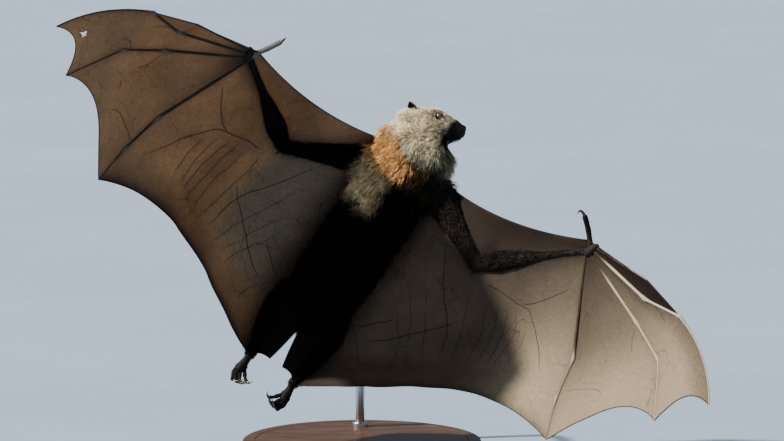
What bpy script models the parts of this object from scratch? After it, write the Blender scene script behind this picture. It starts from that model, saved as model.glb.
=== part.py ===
"""Grey-headed flying fox in flight, life size, on a plain display stand.

The bat is drawn in its own frame, in millimetres: +X is its right, +Y its head end, +Z its back.
One empty then banks it, so that the belly faces -Y, and lifts it over the base.
"""

import math

import bmesh
import bpy
from mathutils import Matrix, Vector

MM = 0.001
GAP = 0.3 * MM  # clear space between neighbouring pieces

# Bank and place of the whole animal.
BANK_TILT = 8.0  # degrees that the belly looks up from level
HEADING = 34.0  # degrees that the body leans to its left of upright
LIFT = 270.0  # height of the middle of the flight outline
BODY_FROM_MIDDLE = (16.8, 51.0)  # shoulders, right of and above that middle
CENTRE = (10.25, 103.3)  # brings the middle of the whole model's box over the origin

# Trunk: distance along the spine, half width, back, belly, all out to the coat's tips.
SPINE_X = 4.0
TRUNK = [
    (-214, 12, 8, -6), (-209, 24, 15, -12), (-198, 34, 21, -18), (-180, 41, 26, -24), (-155, 44.5, 30, -29),
    (-120, 46, 33, -33), (-80, 46, 35, -37), (-40, 46.5, 36, -41), (-10, 47.5, 36, -40), (10, 48, 34, -36),
    (20, 46, 31, -32),
]
# Neck: distance along the spine, half width, half depth, distance right of the shoulders' middle.
NECK = [
    (12, 42, 30, 7), (24, 46.5, 34, 8), (36, 44, 34, 9), (48, 37.5, 31, 10), (58, 28, 25, 12), (64, 15, 14, 14),
]

# Head, in its own frame: distance ahead of the ears' line, half width, top, bottom.
HEAD_AT = (16.2, 58.0, 0.0)
HEAD_FORWARD = (-0.877, 0.470, 0.0)
HEAD_UP = (0.43, 0.80, 0.42)
HEAD = [
    (-27, 12, 8, -16), (-24, 19, 13, -23), (-16, 22, 16.5, -26), (-6, 22, 18.6, -26), (4, 20.5, 19.8, -24.5),
    (12, 18.2, 19.8, -22.5), (18, 16, 18.8, -21.5), (24, 13.2, 16.6, -20.5), (30, 10.8, 13.4, -19.5),
    (36, 8.9, 9.6, -17.5), (41, 7.2, 5.8, -14.5), (44.5, 5.2, 2.6, -11), (46, 2.6, -1, -8),
]
EYE_AT, EYE_RADIUS = (11.4, 17.0, 5.4), 5.2
NOSE_AT, NOSE_SIZE = (0.0, 45.0, -1.0), (4.6, 3.0, 3.2)
MOUTH = {"corner": 22.0, "height": -10.5, "rise": 4.0, "width": 0.7, "cut": (60, 40)}
EAR = {
    "base": (15.5, -14.0, 8.5), "length": 18.0, "width": 14.0, "cup": 4.0, "wall": 1.2, "sunk": 0.25,
    "leans": (0.22, -0.45, 0.86), "faces": (0.45, 0.85, 0.28),
}

# Wings: bone length, sweep ahead of straight out, droop below the back's level.
SHOULDER = {"right": (32.6, -5.8, 0.0), "left": (-31.7, 5.1, 0.0)}
WING = {
    "right": {
        "humerus": (112, -24, 11), "forearm": (158, 36, 49), "thumb": (38, 122, 0),
        "meta_2": (98, -3, 49), "meta_3": (108, -16, 42.5), "first_3": (72, 4, 64), "second_3": (111, -43, 20),
        "meta_4": (110, -31, 33.5), "first_4": (62, -34, 46), "second_4": (70, -59, 15.5),
        "meta_5": (123, -68, 2.5), "first_5": (50, -78, 13), "second_5": (45, -84, 15),
    },
    "left": {
        "humerus": (112, -27, 29), "forearm": (158, 41, 37.5), "thumb": (38, 133, 0),
        "meta_2": (98, 6, 46), "meta_3": (108, -8.5, 43.5), "first_3": (72, 7, 56), "second_3": (111, -39, 28),
        "meta_4": (110, -24, 32), "first_4": (62, -27, 43), "second_4": (70, -61, 21.5),
        "meta_5": (123, -65, 10.5), "first_5": (50, -80, 14.5), "second_5": (45, -70, 10.5),
    },
}
UPPER_ARM_RADII = (22, 18, 14, 11, 9.5)
FOREARM_RADII = (9.5, 13, 11.5, 8.5, 6.5, 5.2)
KNUCKLE = {2: 2.4, 3: 3.2, 4: 2.9, 5: 3.0}
SHAFT = {2: 1.6, 3: 2.0, 4: 1.8, 5: 2.0}
TIP = 0.9
HAND_RADIUS = 8.0
KNUCKLE_SPACING = 4.6  # between neighbouring fingers where they leave the hand
LEADING_BOW = 9.0  # forward bow of the third finger's last bone
THUMB_RADII = (4.0, 3.6, 2.6, 3.2, 2.5, 2.4, 2.6)
CLAW = {"length": 17.0, "radius": 2.1, "taper": 0.17}

# Membranes.
MEMBRANE = 0.8
SAG = {"trailing": 35.0, "leading": 13.0, "tail": -2.0, "thumb": 2.0, "third": 0.065, "fourth": 0.135}
CAMBER = {"plagio": 16.0, "fingers": 5.0, "fore": 6.0}
FLANK = [(38, -60, 0), (38, -120, 0)]

# Legs.
HIP, KNEE, ANKLE = (19, -162, 0), (40, -213, 30), (29, -266, -6)
THIGH_RADII = (22, 22, 19, 16)
SHIN_RADII = (15.5, 14, 10, 7)
CALCAR, NOTCH = (8.5, -256, -4), (4, -205, 4)
PALM = {"length": 17.0, "width": 7.0, "depth": 4.2}
TOE = {"count": 5, "spacing": 3.5, "radius": 1.75, "length": 13.0, "claw": 13.0}

# Stand.
BASE = {"radius": 135.0, "thickness": 18.0, "bevel": 3.0, "centre": (-34.0, 20.0)}
ROD = {
    "radius": 5.0, "back": 92.0, "bend": 34.0, "enters": (0.0, -95.0, 20.0), "sunk": 6.0, "straight": 60.0,
}

COLOURS = {
    "fur_dark": (0.035, 0.028, 0.025, 0.9), "fur_grey": (0.45, 0.39, 0.27, 0.9),
    "fur_collar": (0.50, 0.23, 0.07, 0.9), "skin_black": (0.02, 0.018, 0.018, 0.5),
    "membrane": (0.10, 0.06, 0.035, 0.6), "eye": (0.06, 0.025, 0.01, 0.1),
    "claw": (0.015, 0.013, 0.012, 0.35), "wood": (0.10, 0.05, 0.025, 0.5), "steel": (0.45, 0.45, 0.46, 0.3),
}


def material(name):
    found = bpy.data.materials.get(name)
    if found:
        return found
    made = bpy.data.materials.new(name)
    made.use_nodes = True
    red, green, blue, rough = COLOURS[name]
    shader = made.node_tree.nodes["Principled BSDF"]
    shader.inputs["Base Color"].default_value = (red, green, blue, 1)
    shader.inputs["Roughness"].default_value = rough
    shader.inputs["Metallic"].default_value = 1.0 if name == "steel" else 0.0
    return made


def place(point):
    """A point of the bat's own frame, from millimetres to metres."""
    return Vector(point) * MM


def mirror(point, sign):
    """The same point on the right (+1) or left (-1) side of the spine."""
    x, y, z = point
    return place((SPINE_X + sign * x, y, z))


def finish(name, bm, slot):
    """Makes one named object of a closed mesh, normals out, shaded smooth."""
    bmesh.ops.remove_doubles(bm, verts=bm.verts, dist=1e-6)
    bmesh.ops.recalc_face_normals(bm, faces=bm.faces)
    if bm.calc_volume(signed=True) < 0:
        bmesh.ops.reverse_faces(bm, faces=bm.faces)
    mesh = bpy.data.meshes.new(name)
    bm.to_mesh(mesh)
    bm.free()
    mesh.materials.append(material(slot))
    mesh.shade_smooth()
    mesh.set_sharp_from_angle(angle=math.radians(50))
    piece = bpy.data.objects.new(name, mesh)
    bpy.context.collection.objects.link(piece)
    return piece


def loft(name, rings, slot):
    """Joins rings of equal count into one closed body with flat ends."""
    bm = bmesh.new()
    loops = [[bm.verts.new(point) for point in ring] for ring in rings]
    count = len(loops[0])
    for near, far in zip(loops, loops[1:]):
        for k in range(count):
            bm.faces.new((near[k], near[(k + 1) % count], far[(k + 1) % count], far[k]))
    bm.faces.new(loops[0][::-1])
    bm.faces.new(loops[-1])
    return finish(name, bm, slot)


def oval(centre, side, up, half_width, top, bottom, count, square=2.0):
    """A ring round centre: half_width along side, top and bottom along up. square 2 is an ellipse."""
    points = []
    for k in range(count):
        angle = 2 * math.pi * k / count
        across = math.copysign(abs(math.cos(angle)) ** (2 / square), math.cos(angle))
        rise = math.copysign(abs(math.sin(angle)) ** (2 / square), math.sin(angle))
        middle, half = (top + bottom) / 2, (top - bottom) / 2
        points.append(centre + side * (half_width * across) + up * (middle + half * rise))
    return points


def tube(name, path, radii, slot, sides=8, flat=1.0, up=Vector((0, 0, 1))):
    """A tapered limb along path, with rounded ends; flat squeezes it along up."""
    rings = []
    last = len(path) - 1
    for k, (centre, radius) in enumerate(zip(path, radii)):
        ahead = (path[min(k + 1, last)] - path[max(k - 1, 0)]).normalized()
        side = ahead.cross(up).normalized()
        lift = side.cross(ahead)
        ring = (side, lift, radius * MM, radius * MM * flat)
        if k == 0:
            start = centre - ahead * radius * MM * 0.6
            rings.append(oval(start, side, lift, ring[2] * 0.6, ring[3] * 0.6, -ring[3] * 0.6, sides))
        rings.append(oval(centre, side, lift, ring[2], ring[3], -ring[3], sides))
        if k == last:
            end = centre + ahead * radius * MM * 0.6
            rings.append(oval(end, side, lift, ring[2] * 0.6, ring[3] * 0.6, -ring[3] * 0.6, sides))
    return loft(name, rings, slot)


def sheet(name, surface, rows, columns, slot, wall=MEMBRANE):
    """A curved sheet of even wall from surface(u, v), closed round its rim."""
    middle = [[surface(c / columns, r / rows) for c in range(columns + 1)] for r in range(rows + 1)]
    bm = bmesh.new()
    sides = ([], [])
    for r in range(rows + 1):
        front, back = [], []
        for c in range(columns + 1):
            along = middle[r][min(c + 1, columns)] - middle[r][max(c - 1, 0)]
            down = middle[min(r + 1, rows)][c] - middle[max(r - 1, 0)][c]
            normal = along.cross(down).normalized() * (wall * MM / 2)
            front.append(bm.verts.new(middle[r][c] + normal))
            back.append(bm.verts.new(middle[r][c] - normal))
        sides[0].append(front)
        sides[1].append(back)
    for grid, turn in zip(sides, (1, -1)):  # both sides fold along the same diagonals
        for r in range(rows):
            for c in range(columns):
                near, far = (grid[r][c], grid[r][c + 1]), (grid[r + 1][c], grid[r + 1][c + 1])
                bm.faces.new((near[0], near[1], far[1])[::turn])
                bm.faces.new((near[0], far[1], far[0])[::turn])
    rim = [(0, c) for c in range(columns)] + [(r, columns) for r in range(rows)]
    rim += [(rows, c) for c in range(columns, 0, -1)] + [(r, 0) for r in range(rows, 0, -1)]
    for (r1, c1), (r2, c2) in zip(rim, rim[1:] + rim[:1]):
        bm.faces.new((sides[0][r1][c1], sides[1][r1][c1], sides[1][r2][c2], sides[0][r2][c2]))
    return finish(name, bm, slot)


def swollen(piece, by):
    """A copy of piece's mesh, grown by a distance all over, to cut its neighbours with."""
    grown = piece.data.copy()
    normals = [vertex.normal.copy() for vertex in grown.vertices]
    for vertex, normal in zip(grown.vertices, normals):
        vertex.co += normal * by
    return grown


def combine(piece, mesh, operation):
    """Applies one Boolean of mesh to piece and keeps piece's largest body."""
    other = bpy.data.objects.new("cutter", mesh)
    bpy.context.collection.objects.link(other)
    change = piece.modifiers.new("combine", "BOOLEAN")
    change.operation = operation
    change.object = other
    change.solver = "MANIFOLD"
    shape = bpy.data.meshes.new_from_object(piece.evaluated_get(bpy.context.evaluated_depsgraph_get()))
    piece.modifiers.clear()
    shape.name = piece.name
    piece.data = shape
    bpy.data.objects.remove(other)
    keep_largest(shape)


def keep_largest(mesh):
    bm = bmesh.new()
    bm.from_mesh(mesh)
    unseen = set(bm.verts)
    islands = []
    while unseen:
        island, edge_of = set(), [unseen.pop()]
        while edge_of:
            vertex = edge_of.pop()
            island.add(vertex)
            for edge in vertex.link_edges:
                other = edge.other_vert(vertex)
                if other in unseen:
                    unseen.discard(other)
                    edge_of.append(other)
        islands.append(island)
    islands.sort(key=len)
    for island in islands[:-1]:
        bmesh.ops.delete(bm, geom=list(island), context="VERTS")
    bm.to_mesh(mesh)
    bm.free()


def box(mesh):
    points = [vertex.co for vertex in mesh.vertices]
    return [(min(p[axis] for p in points), max(p[axis] for p in points)) for axis in range(3)]


def settle(piece, placed):
    """Takes from piece what the pieces already placed fill, with the clear gap round them."""
    whole = swollen(piece, GAP)
    for _, grown in placed:
        if all(a[0] < b[1] and b[0] < a[1] for a, b in zip(box(piece.data), box(grown))):
            combine(piece, grown, "DIFFERENCE")
    placed.append((piece, whole))
    return piece


def along(points, share):
    """The point at a share of the way along a polyline, by its length."""
    steps = [(b - a).length for a, b in zip(points, points[1:])]
    left = share * sum(steps)
    for (a, b), step in zip(zip(points, points[1:]), steps):
        if left <= step:
            return a.lerp(b, left / step)
        left -= step
    return points[-1].copy()


def body_pieces(placed):
    side, up = Vector((1, 0, 0)), Vector((0, 0, 1))
    rings = [
        oval(place((SPINE_X, y, 0)), side, up, half * MM, back * MM, belly * MM, 14, 2.2)
        for y, half, back, belly in TRUNK
    ]
    trunk = settle(loft("trunk", rings, "fur_dark"), placed)
    rings = [
        oval(place((x, y, 0)), side, up, half * MM, depth * MM, -depth * MM, 12)
        for y, half, depth, x in NECK
    ]
    settle(loft("neck", rings, "fur_collar"), placed)
    return trunk


def head_frame():
    """The matrix from the head's own frame to the bat's."""
    forward = Vector(HEAD_FORWARD).normalized()
    right = forward.cross(Vector(HEAD_UP)).normalized()
    up = right.cross(forward)
    turn = Matrix((right, forward, up)).transposed().to_4x4()
    return Matrix.Translation(place(HEAD_AT)) @ turn


def ball(name, radii, slot):
    bm = bmesh.new()
    bmesh.ops.create_icosphere(bm, subdivisions=2, radius=MM)
    bmesh.ops.transform(bm, matrix=Matrix.Diagonal((*radii, 1)), verts=bm.verts)
    return finish(name, bm, slot)


def ear(side, sign, frame):
    """A cupped leaf with a blunt tip, laid back beside the crown, its hollow facing out and ahead."""
    x, y, z = EAR["base"]
    root = place((sign * x, y, z))
    axis = Vector((sign * EAR["leans"][0], *EAR["leans"][1:])).normalized()
    facing = Vector((sign * EAR["faces"][0], *EAR["faces"][1:]))
    across = facing.cross(axis).cross(axis).normalized()
    out = axis.cross(across).normalized()
    if out.x * sign < 0:
        out.negate()

    def surface(u, v):
        half = EAR["width"] / 2 * math.sin(math.pi * (0.30 + 0.66 * v)) ** 0.8
        spread = (2 * u - 1) * half
        hollow = EAR["cup"] * (1 - (2 * u - 1) ** 2) * (1 - 0.5 * v)
        reach = EAR["length"] * (v - EAR["sunk"])
        return frame @ (root + axis * reach * MM + across * spread * MM - out * hollow * MM)

    return sheet(f"ear_{side}", surface, 5, 4, "skin_black", EAR["wall"])


def head_pieces(placed):
    frame = head_frame()
    side, ahead, up = Vector((1, 0, 0)), Vector((0, 1, 0)), Vector((0, 0, 1))
    rings = []
    for y, half, top, bottom in HEAD:
        ring = oval(ahead * y * MM, side, up, half * MM, top * MM, bottom * MM, 16, 2.1)
        rings.append([frame @ point for point in ring])
    head = loft("head", rings, "fur_grey")
    x, y, z = EYE_AT
    for side_name, sign in (("right", 1), ("left", -1)):
        eye = ball(f"eye_{side_name}", [EYE_RADIUS] * 3, "eye")
        eye.data.transform(Matrix.Translation(frame @ place((sign * x, y, z))))
        settle(eye, placed)

    slit = bmesh.new()
    bmesh.ops.create_cube(slit, size=1.0)
    across, reach = MOUTH["cut"][0] * MM, MOUTH["cut"][1] * MM
    size = Matrix.Diagonal((across, reach, MOUTH["width"] * MM, 1))
    bmesh.ops.transform(slit, matrix=size, verts=slit.verts)
    bmesh.ops.transform(slit, matrix=Matrix.Translation((0, reach / 2, 0)), verts=slit.verts)
    rise = Matrix.Rotation(math.radians(MOUTH["rise"]), 4, "X")
    corner = Matrix.Translation(place((0, MOUTH["corner"], MOUTH["height"])))
    bmesh.ops.transform(slit, matrix=frame @ corner @ rise, verts=slit.verts)
    cutter = finish("mouth_slit", slit, "skin_black")
    combine(head, cutter.data, "DIFFERENCE")
    bpy.data.objects.remove(cutter)

    settle(head, placed)
    nose = ball("nose", NOSE_SIZE, "skin_black")
    nose.data.transform(frame @ Matrix.Translation(place(NOSE_AT)))
    settle(nose, placed)
    for side_name, sign in (("right", 1), ("left", -1)):
        settle(ear(side_name, sign, frame), placed)


def direction(side, sweep, droop):
    sweep, droop = math.radians(sweep), math.radians(droop)
    out = 1 if side == "right" else -1
    return Vector((
        out * math.cos(sweep) * math.cos(droop), math.sin(sweep) * math.cos(droop), -math.sin(droop)
    ))


def wing_joints(side):
    """Every joint of one wing, bone after bone from the shoulder."""
    bones = WING[side]

    def follow(start, *names):
        points = [start]
        for name in names:
            length, sweep, droop = bones[name]
            points.append(points[-1] + direction(side, sweep, droop) * length * MM)
        return points

    arm = follow(place(SHOULDER[side]), "humerus", "forearm")
    wrist = arm[-1]
    fingers = {1: follow(wrist, "thumb"), 2: follow(wrist, "meta_2")}
    for number in (3, 4, 5):
        fingers[number] = follow(wrist, f"meta_{number}", f"first_{number}", f"second_{number}")
    ahead = direction(side, *bones["meta_2"][1:])
    behind = direction(side, *bones["meta_5"][1:])
    across = (ahead - behind).normalized()
    for number in (2, 3, 4, 5):
        shift = across * (3.5 - number) * KNUCKLE_SPACING * MM
        fingers[number][0] = wrist + shift
    return arm, fingers


def on_finger(line, spot):
    """A point on a finger: 1 is its first joint, 2 its second; the last bone takes the line's bow."""
    points, bow = line
    k = min(int(spot), len(points) - 2)
    share = spot - k
    point = points[k].lerp(points[k + 1], share)
    return point + bow * (4 * share * (1 - share)) if k == len(points) - 2 else point


def finger_line(side, number, points):
    """A finger's joints, and how far its last bone bows ahead of straight."""
    bow = Vector()
    if number == 3:
        run = (points[-1] - points[-2]).normalized()
        lead = direction(side, 53, 0)
        bow = (lead - run * lead.dot(run)).normalized() * LEADING_BOW * MM
    return points, bow


def finger(side, number, line):
    """One finger: slim shafts between knuckles, the last bone tapering to its tip."""
    path, radii = [], []
    bones = len(line[0]) - 1
    for k in range(bones):
        shrink = 1 - 0.16 * k
        stations = ((0.0, KNUCKLE[number]), (0.14, SHAFT[number]), (0.86, SHAFT[number]))
        if k == bones - 1:
            shares = (0.0, 0.15, 0.4, 0.7)
            stations = [(share, KNUCKLE[number] * (1 - 0.9 * share ** 0.4)) for share in shares]
        for share, radius in stations:
            path.append(on_finger(line, k + share))
            radii.append(max(radius * shrink, TIP))
    path.append(line[0][-1])
    radii.append(TIP)
    return tube(f"finger_{number}_{side}", path, radii, "skin_black", 6)


def claw_path(start, ahead, hook, length):
    """A claw's middle line: a quarter turn from ahead towards hook."""
    points = []
    for k in range(6):
        turn = math.radians(20 * k)
        reach = length * MM * 0.6
        points.append(start + ahead * reach * math.sin(turn) + hook * reach * (1 - math.cos(turn)))
    return points


def patch(front, rear, inner, outer, camber, lift):
    """A sheet's surface bounded by four curves, each a function of 0 to 1, and crowned along lift."""

    def surface(u, v):
        ruled = front(u) * (1 - v) + rear(u) * v
        crossed = inner(v) * (1 - u) + outer(v) * u
        corners = (front(0) * (1 - u) + front(1) * u) * (1 - v) + (rear(0) * (1 - u) + rear(1) * u) * v
        crown = camber * math.sin(math.pi * u) * math.sin(math.pi * min(v, 0.9))
        return ruled + crossed - corners + lift * crown

    return surface


def sagging(start, end, towards, depth, skew):
    """A free edge from start to end, drawn in by depth towards a point; skew is where it is deepest."""
    pull = (towards - start.lerp(end, 0.5)).normalized() * depth * MM
    power = math.log(0.5) / math.log(skew)

    def edge(share):
        dip = share ** power if share > 0 else 0.0
        return start.lerp(end, share) + pull * 4 * dip * (1 - dip)

    return edge


def leg_points(sign):
    return [mirror(HIP, sign), mirror(KNEE, sign), mirror(ANKLE, sign)]


def arm_pieces(side, placed):
    """Upper arm, forearm, hand, thumb and fingers of one wing, each clear of the one before."""
    arm, fingers = wing_joints(side)
    shoulder, elbow, wrist = arm
    count = len(UPPER_ARM_RADII) - 1
    path = [shoulder.lerp(elbow, k / count) for k in range(count + 1)]
    upper = tube(f"upper_arm_{side}", path, UPPER_ARM_RADII, "fur_dark", 10, 0.8)
    settle(upper, placed)
    count = len(FOREARM_RADII) - 1
    path = [elbow.lerp(wrist, k / count) for k in range(count + 1)]
    forearm = tube(f"forearm_{side}", path, FOREARM_RADII, "fur_dark", 10, 0.85)

    reach = fingers[2][0] - fingers[5][0]
    ahead = (wrist - elbow).normalized()
    middle = wrist + ahead * 2 * MM
    path = [middle + reach * share for share in (-0.62, -0.25, 0.25, 0.62)]
    radii = [HAND_RADIUS * part for part in (0.62, 0.8, 0.8, 0.62)]
    hand = tube(f"hand_{side}", path, radii, "skin_black", 8)
    settle(hand, placed)
    settle(forearm, placed)

    base, end = fingers[1]
    run = end - base
    out = 1 if side == "right" else -1
    hook = Vector((-out * 0.8, -0.2, -0.5))
    hook = (hook - run * hook.dot(run) / run.length_squared).normalized()
    shares = (0, 0.2, 0.4, 0.55, 0.7, 0.85, 1)
    bend = [base.lerp(end, share) - hook * (3 * MM * math.sin(math.pi * share)) for share in shares]
    thumb = tube(f"thumb_{side}", bend, THUMB_RADII, "skin_black", 6)
    tip = claw_path(end, run.normalized(), hook, CLAW["length"])
    radii = [CLAW["radius"] * (1 - CLAW["taper"] * k) for k in range(len(tip))]
    claw = tube(f"thumb_claw_{side}", tip, radii, "claw", 6)
    settle(claw, placed)
    settle(thumb, placed)

    for number in (2, 3, 4, 5):
        fingers[number] = finger_line(side, number, fingers[number])
        settle(finger(side, number, fingers[number]), placed)
    return arm, fingers


def web(near, far, bones, sag, skew, camber):
    """A sheet's surface between two fingers, its free edge drawn in between their tips."""
    power = math.log(0.5) / math.log(skew)

    def surface(u, v):
        dip = u ** power
        spot = bones * (v - sag * 4 * dip * (1 - dip) * v ** 3)
        point = on_finger(near, spot).lerp(on_finger(far, spot), u)
        return point + camber * (4 * u * (1 - u) * math.sin(math.pi * min(v, 0.85)))

    return surface


def ribbon(near, far, crown):
    """A sheet's surface between two lines, each a function of 0 to 1, crowned in its middle."""

    def surface(u, v):
        return near(v).lerp(far(v), u) + crown * (4 * u * (1 - u) * math.sin(math.pi * v))

    return surface


def wing_membranes(side, sign, placed, arm, fingers, legs):
    shoulder, elbow, wrist = arm
    hip, knee, ankle = legs
    lift = (Vector((0, 0, 1)) + direction(side, -10, 40) * 0.35).normalized() * MM
    thumb_root = fingers[1][0].lerp(fingers[1][1], 0.3)
    second, third = fingers[2][0], fingers[3][0]
    wing_tip_line = [second[0], second[1], third[2]]
    near_thumb = second[0].lerp(second[1], 0.72)
    spur, notch = mirror(CALCAR, sign), place(NOTCH)
    inner_line = [shoulder, *(mirror(point, sign) for point in FLANK), hip.lerp(knee, 0.5), knee, ankle]
    leg_line = [hip.lerp(knee, 0.3), knee, ankle]

    def beside(points):
        return lambda share: along(points, share)

    trailing = sagging(ankle, fingers[5][0][-1], elbow, SAG["trailing"], 0.63)
    leading = sagging(place((sign * 48 + 5, 16, 2)), thumb_root, elbow, SAG["leading"], 0.5)
    behind_spur = sagging(notch, spur, hip, SAG["tail"], 0.5)
    behind_thumb = sagging(thumb_root, near_thumb, second[0], SAG["thumb"], 0.5)
    sheets = {
        "membrane_1_2": (
            ribbon(beside([second[0], near_thumb]), behind_thumb, lift * 0),
            6, 2,
        ),
        "membrane_2_3": (
            ribbon(beside(wing_tip_line), beside(third[:3]), lift * 2),
            8, 2,
        ),
        "membrane_3_4": (
            web(fingers[3], fingers[4], 3, SAG["third"], 0.5, lift * CAMBER["fingers"]),
            8, 4,
        ),
        "membrane_4_5": (
            web(fingers[4], fingers[5], 3, SAG["fourth"], 0.44, lift * CAMBER["fingers"]),
            9, 5,
        ),
        "plagiopatagium": (
            patch(beside([shoulder, elbow, wrist]), trailing, beside(inner_line), beside(fingers[5][0]),
                  CAMBER["plagio"], lift),
            6, 7,
        ),
        "propatagium": (
            ribbon(leading, beside([shoulder, elbow, wrist]), lift * CAMBER["fore"]),
            8, 3,
        ),
        "uropatagium": (
            ribbon(behind_spur, beside(leg_line), lift * 0),
            5, 3,
        ),
    }
    for name, (surface, rows, columns) in sheets.items():
        settle(sheet(f"{name}_{side}", surface, rows, columns, "membrane"), placed)


def leg_pieces(side, sign, placed):
    hip, knee, ankle = leg_points(sign)
    count = len(THIGH_RADII) - 1
    path = [hip.lerp(knee, k / count) for k in range(count + 1)]
    thigh = tube(f"thigh_{side}", path, THIGH_RADII, "fur_dark", 10)
    settle(thigh, placed)
    count = len(SHIN_RADII) - 1
    path = [knee.lerp(ankle, k / count) for k in range(count + 1)]
    shin = tube(f"shin_{side}", path, SHIN_RADII, "fur_dark", 10)
    settle(shin, placed)

    back = Vector((-sign * 0.12, -1.0, -0.05)).normalized()
    across = Vector((0, 0, 1)).cross(back).normalized()
    sole = across.cross(back).normalized()
    if sole.z > 0:
        sole.negate()
    palm_path = [ankle + back * (PALM["length"] * share * MM) for share in (0.0, 0.35, 0.75, 1.0)]
    palm_radii = [PALM["width"] * part for part in (0.72, 0.85, 1.1, 1.05)]
    flat = PALM["depth"] / PALM["width"]
    foot = tube(f"foot_{side}", palm_path, palm_radii, "skin_black", 8, flat)
    for k in range(TOE["count"]):
        aside = (k - (TOE["count"] - 1) / 2) * TOE["spacing"]
        root = ankle + back * (PALM["length"] - 3) * MM + across * aside * 0.95 * MM
        ahead = (back + across * aside * 0.03).normalized()
        path = [root]
        bend = 0.0
        steps = [TOE["length"] / 2] * 2 + [TOE["claw"] / 2] * 2
        for n, step in enumerate(steps):
            bend += math.radians(14 if n < 2 else 44)
            path.append(path[-1] + (ahead * math.cos(bend) + sole * math.sin(bend)) * step * MM)
        radii = [TOE["radius"] * part for part in (1.0, 0.92, 0.95, 0.65, 0.26)]
        toe = tube("toe", path, radii, "claw", 5, up=across)
        combine(foot, toe.data, "UNION")
        bpy.data.objects.remove(toe)
    settle(foot, placed)
    return [hip, knee, ankle]


def bank():
    """The empty that banks the bat and lifts it over the base."""
    holder = bpy.data.objects.new("flight_pose", None)
    bpy.context.collection.objects.link(holder)
    tilt, lean = math.radians(BANK_TILT), math.radians(HEADING)
    across = Vector((1, 0, 0))
    rise = Vector((0, math.sin(tilt), math.cos(tilt)))
    right = across * -math.cos(lean) + rise * math.sin(lean)
    ahead = across * math.sin(lean) + rise * math.cos(lean)
    dorsal = right.cross(ahead)
    turn = Matrix((right, ahead, dorsal)).transposed().to_4x4()
    sideways, upward = BODY_FROM_MIDDLE
    middle = Vector((sideways + CENTRE[0], CENTRE[1], LIFT)) + rise * upward
    holder.matrix_world = Matrix.Translation(middle * MM) @ turn
    return holder


def stand_pieces(holder):
    x, y = ((part + shift) * MM for part, shift in zip(BASE["centre"], CENTRE))
    bm = bmesh.new()
    thickness = BASE["thickness"] * MM
    radius = BASE["radius"] * MM
    bmesh.ops.create_cone(bm, cap_ends=True, segments=28, radius1=radius, radius2=radius, depth=thickness)
    bmesh.ops.transform(bm, matrix=Matrix.Translation((x, y, thickness / 2)), verts=bm.verts)
    top = [edge for edge in bm.edges if all(v.co.z > thickness * 0.9 for v in edge.verts)]
    bmesh.ops.bevel(bm, geom=top, offset=BASE["bevel"] * MM, segments=1, affect="EDGES")
    base = finish("stand_base", bm, "wood")

    point = holder.matrix_world @ place(ROD["enters"])
    into = holder.matrix_world.to_3x3() @ Vector((0, 0, -1))
    foot_y = point.y + ROD["back"] * MM
    bend = ROD["bend"] * MM
    corner = point - into * ((foot_y - point.y) / -into.y)
    lower, upper = Vector((point.x, foot_y, corner.z - bend)), corner + into * bend
    heights = (thickness - ROD["sunk"] * MM, ROD["straight"] * MM, lower.z)
    path = [Vector((point.x, foot_y, height)) for height in heights]
    for share in (0.2, 0.4, 0.6, 0.8):
        path.append(lower.lerp(corner, share).lerp(corner.lerp(upper, share), share))
    path += [upper, point]
    rod = tube("stand_rod", path, [ROD["radius"]] * len(path), "steel", 8, up=Vector((1, 0, 0)))
    combine(base, swollen(rod, GAP), "DIFFERENCE")
    return rod


def build():
    for old in list(bpy.data.objects):
        bpy.data.objects.remove(old)
    placed = []
    head_pieces(placed)
    trunk = body_pieces(placed)
    for side, sign in (("right", 1), ("left", -1)):
        legs = leg_pieces(side, sign, placed)
        arm, fingers = arm_pieces(side, placed)
        wing_membranes(side, sign, placed, arm, fingers, legs)
    holder = bank()
    rod = stand_pieces(holder)
    socket = swollen(rod, GAP)
    socket.transform(holder.matrix_world.inverted())
    combine(trunk, socket, "DIFFERENCE")
    for piece, _ in placed:
        piece.parent = holder


build()
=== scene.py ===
import math

import bmesh
import bpy
import numpy as np
from mathutils import Matrix, Vector, kdtree, noise
from mathutils.bvhtree import BVHTree


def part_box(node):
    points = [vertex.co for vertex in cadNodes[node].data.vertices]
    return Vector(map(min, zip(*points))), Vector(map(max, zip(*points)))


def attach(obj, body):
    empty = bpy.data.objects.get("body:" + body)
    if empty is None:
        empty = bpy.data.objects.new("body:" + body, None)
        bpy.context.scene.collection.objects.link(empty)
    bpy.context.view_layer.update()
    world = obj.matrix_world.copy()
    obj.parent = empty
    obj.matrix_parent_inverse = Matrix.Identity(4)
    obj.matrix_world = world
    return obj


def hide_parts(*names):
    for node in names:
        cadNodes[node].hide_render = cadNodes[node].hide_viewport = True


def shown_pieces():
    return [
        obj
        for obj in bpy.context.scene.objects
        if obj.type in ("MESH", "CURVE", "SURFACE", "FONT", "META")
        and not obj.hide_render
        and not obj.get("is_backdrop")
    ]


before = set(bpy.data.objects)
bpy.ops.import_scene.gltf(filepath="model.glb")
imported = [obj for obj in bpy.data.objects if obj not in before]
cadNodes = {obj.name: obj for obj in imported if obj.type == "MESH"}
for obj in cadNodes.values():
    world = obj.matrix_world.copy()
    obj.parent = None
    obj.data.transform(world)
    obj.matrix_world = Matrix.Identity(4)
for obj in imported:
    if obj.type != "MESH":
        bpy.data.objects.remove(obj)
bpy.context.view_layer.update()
print("frame loaded")

mm = 0.001
random = np.random.default_rng(11)
noise.seed_set(11)  # or the noise vectors change with the time of day

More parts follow.
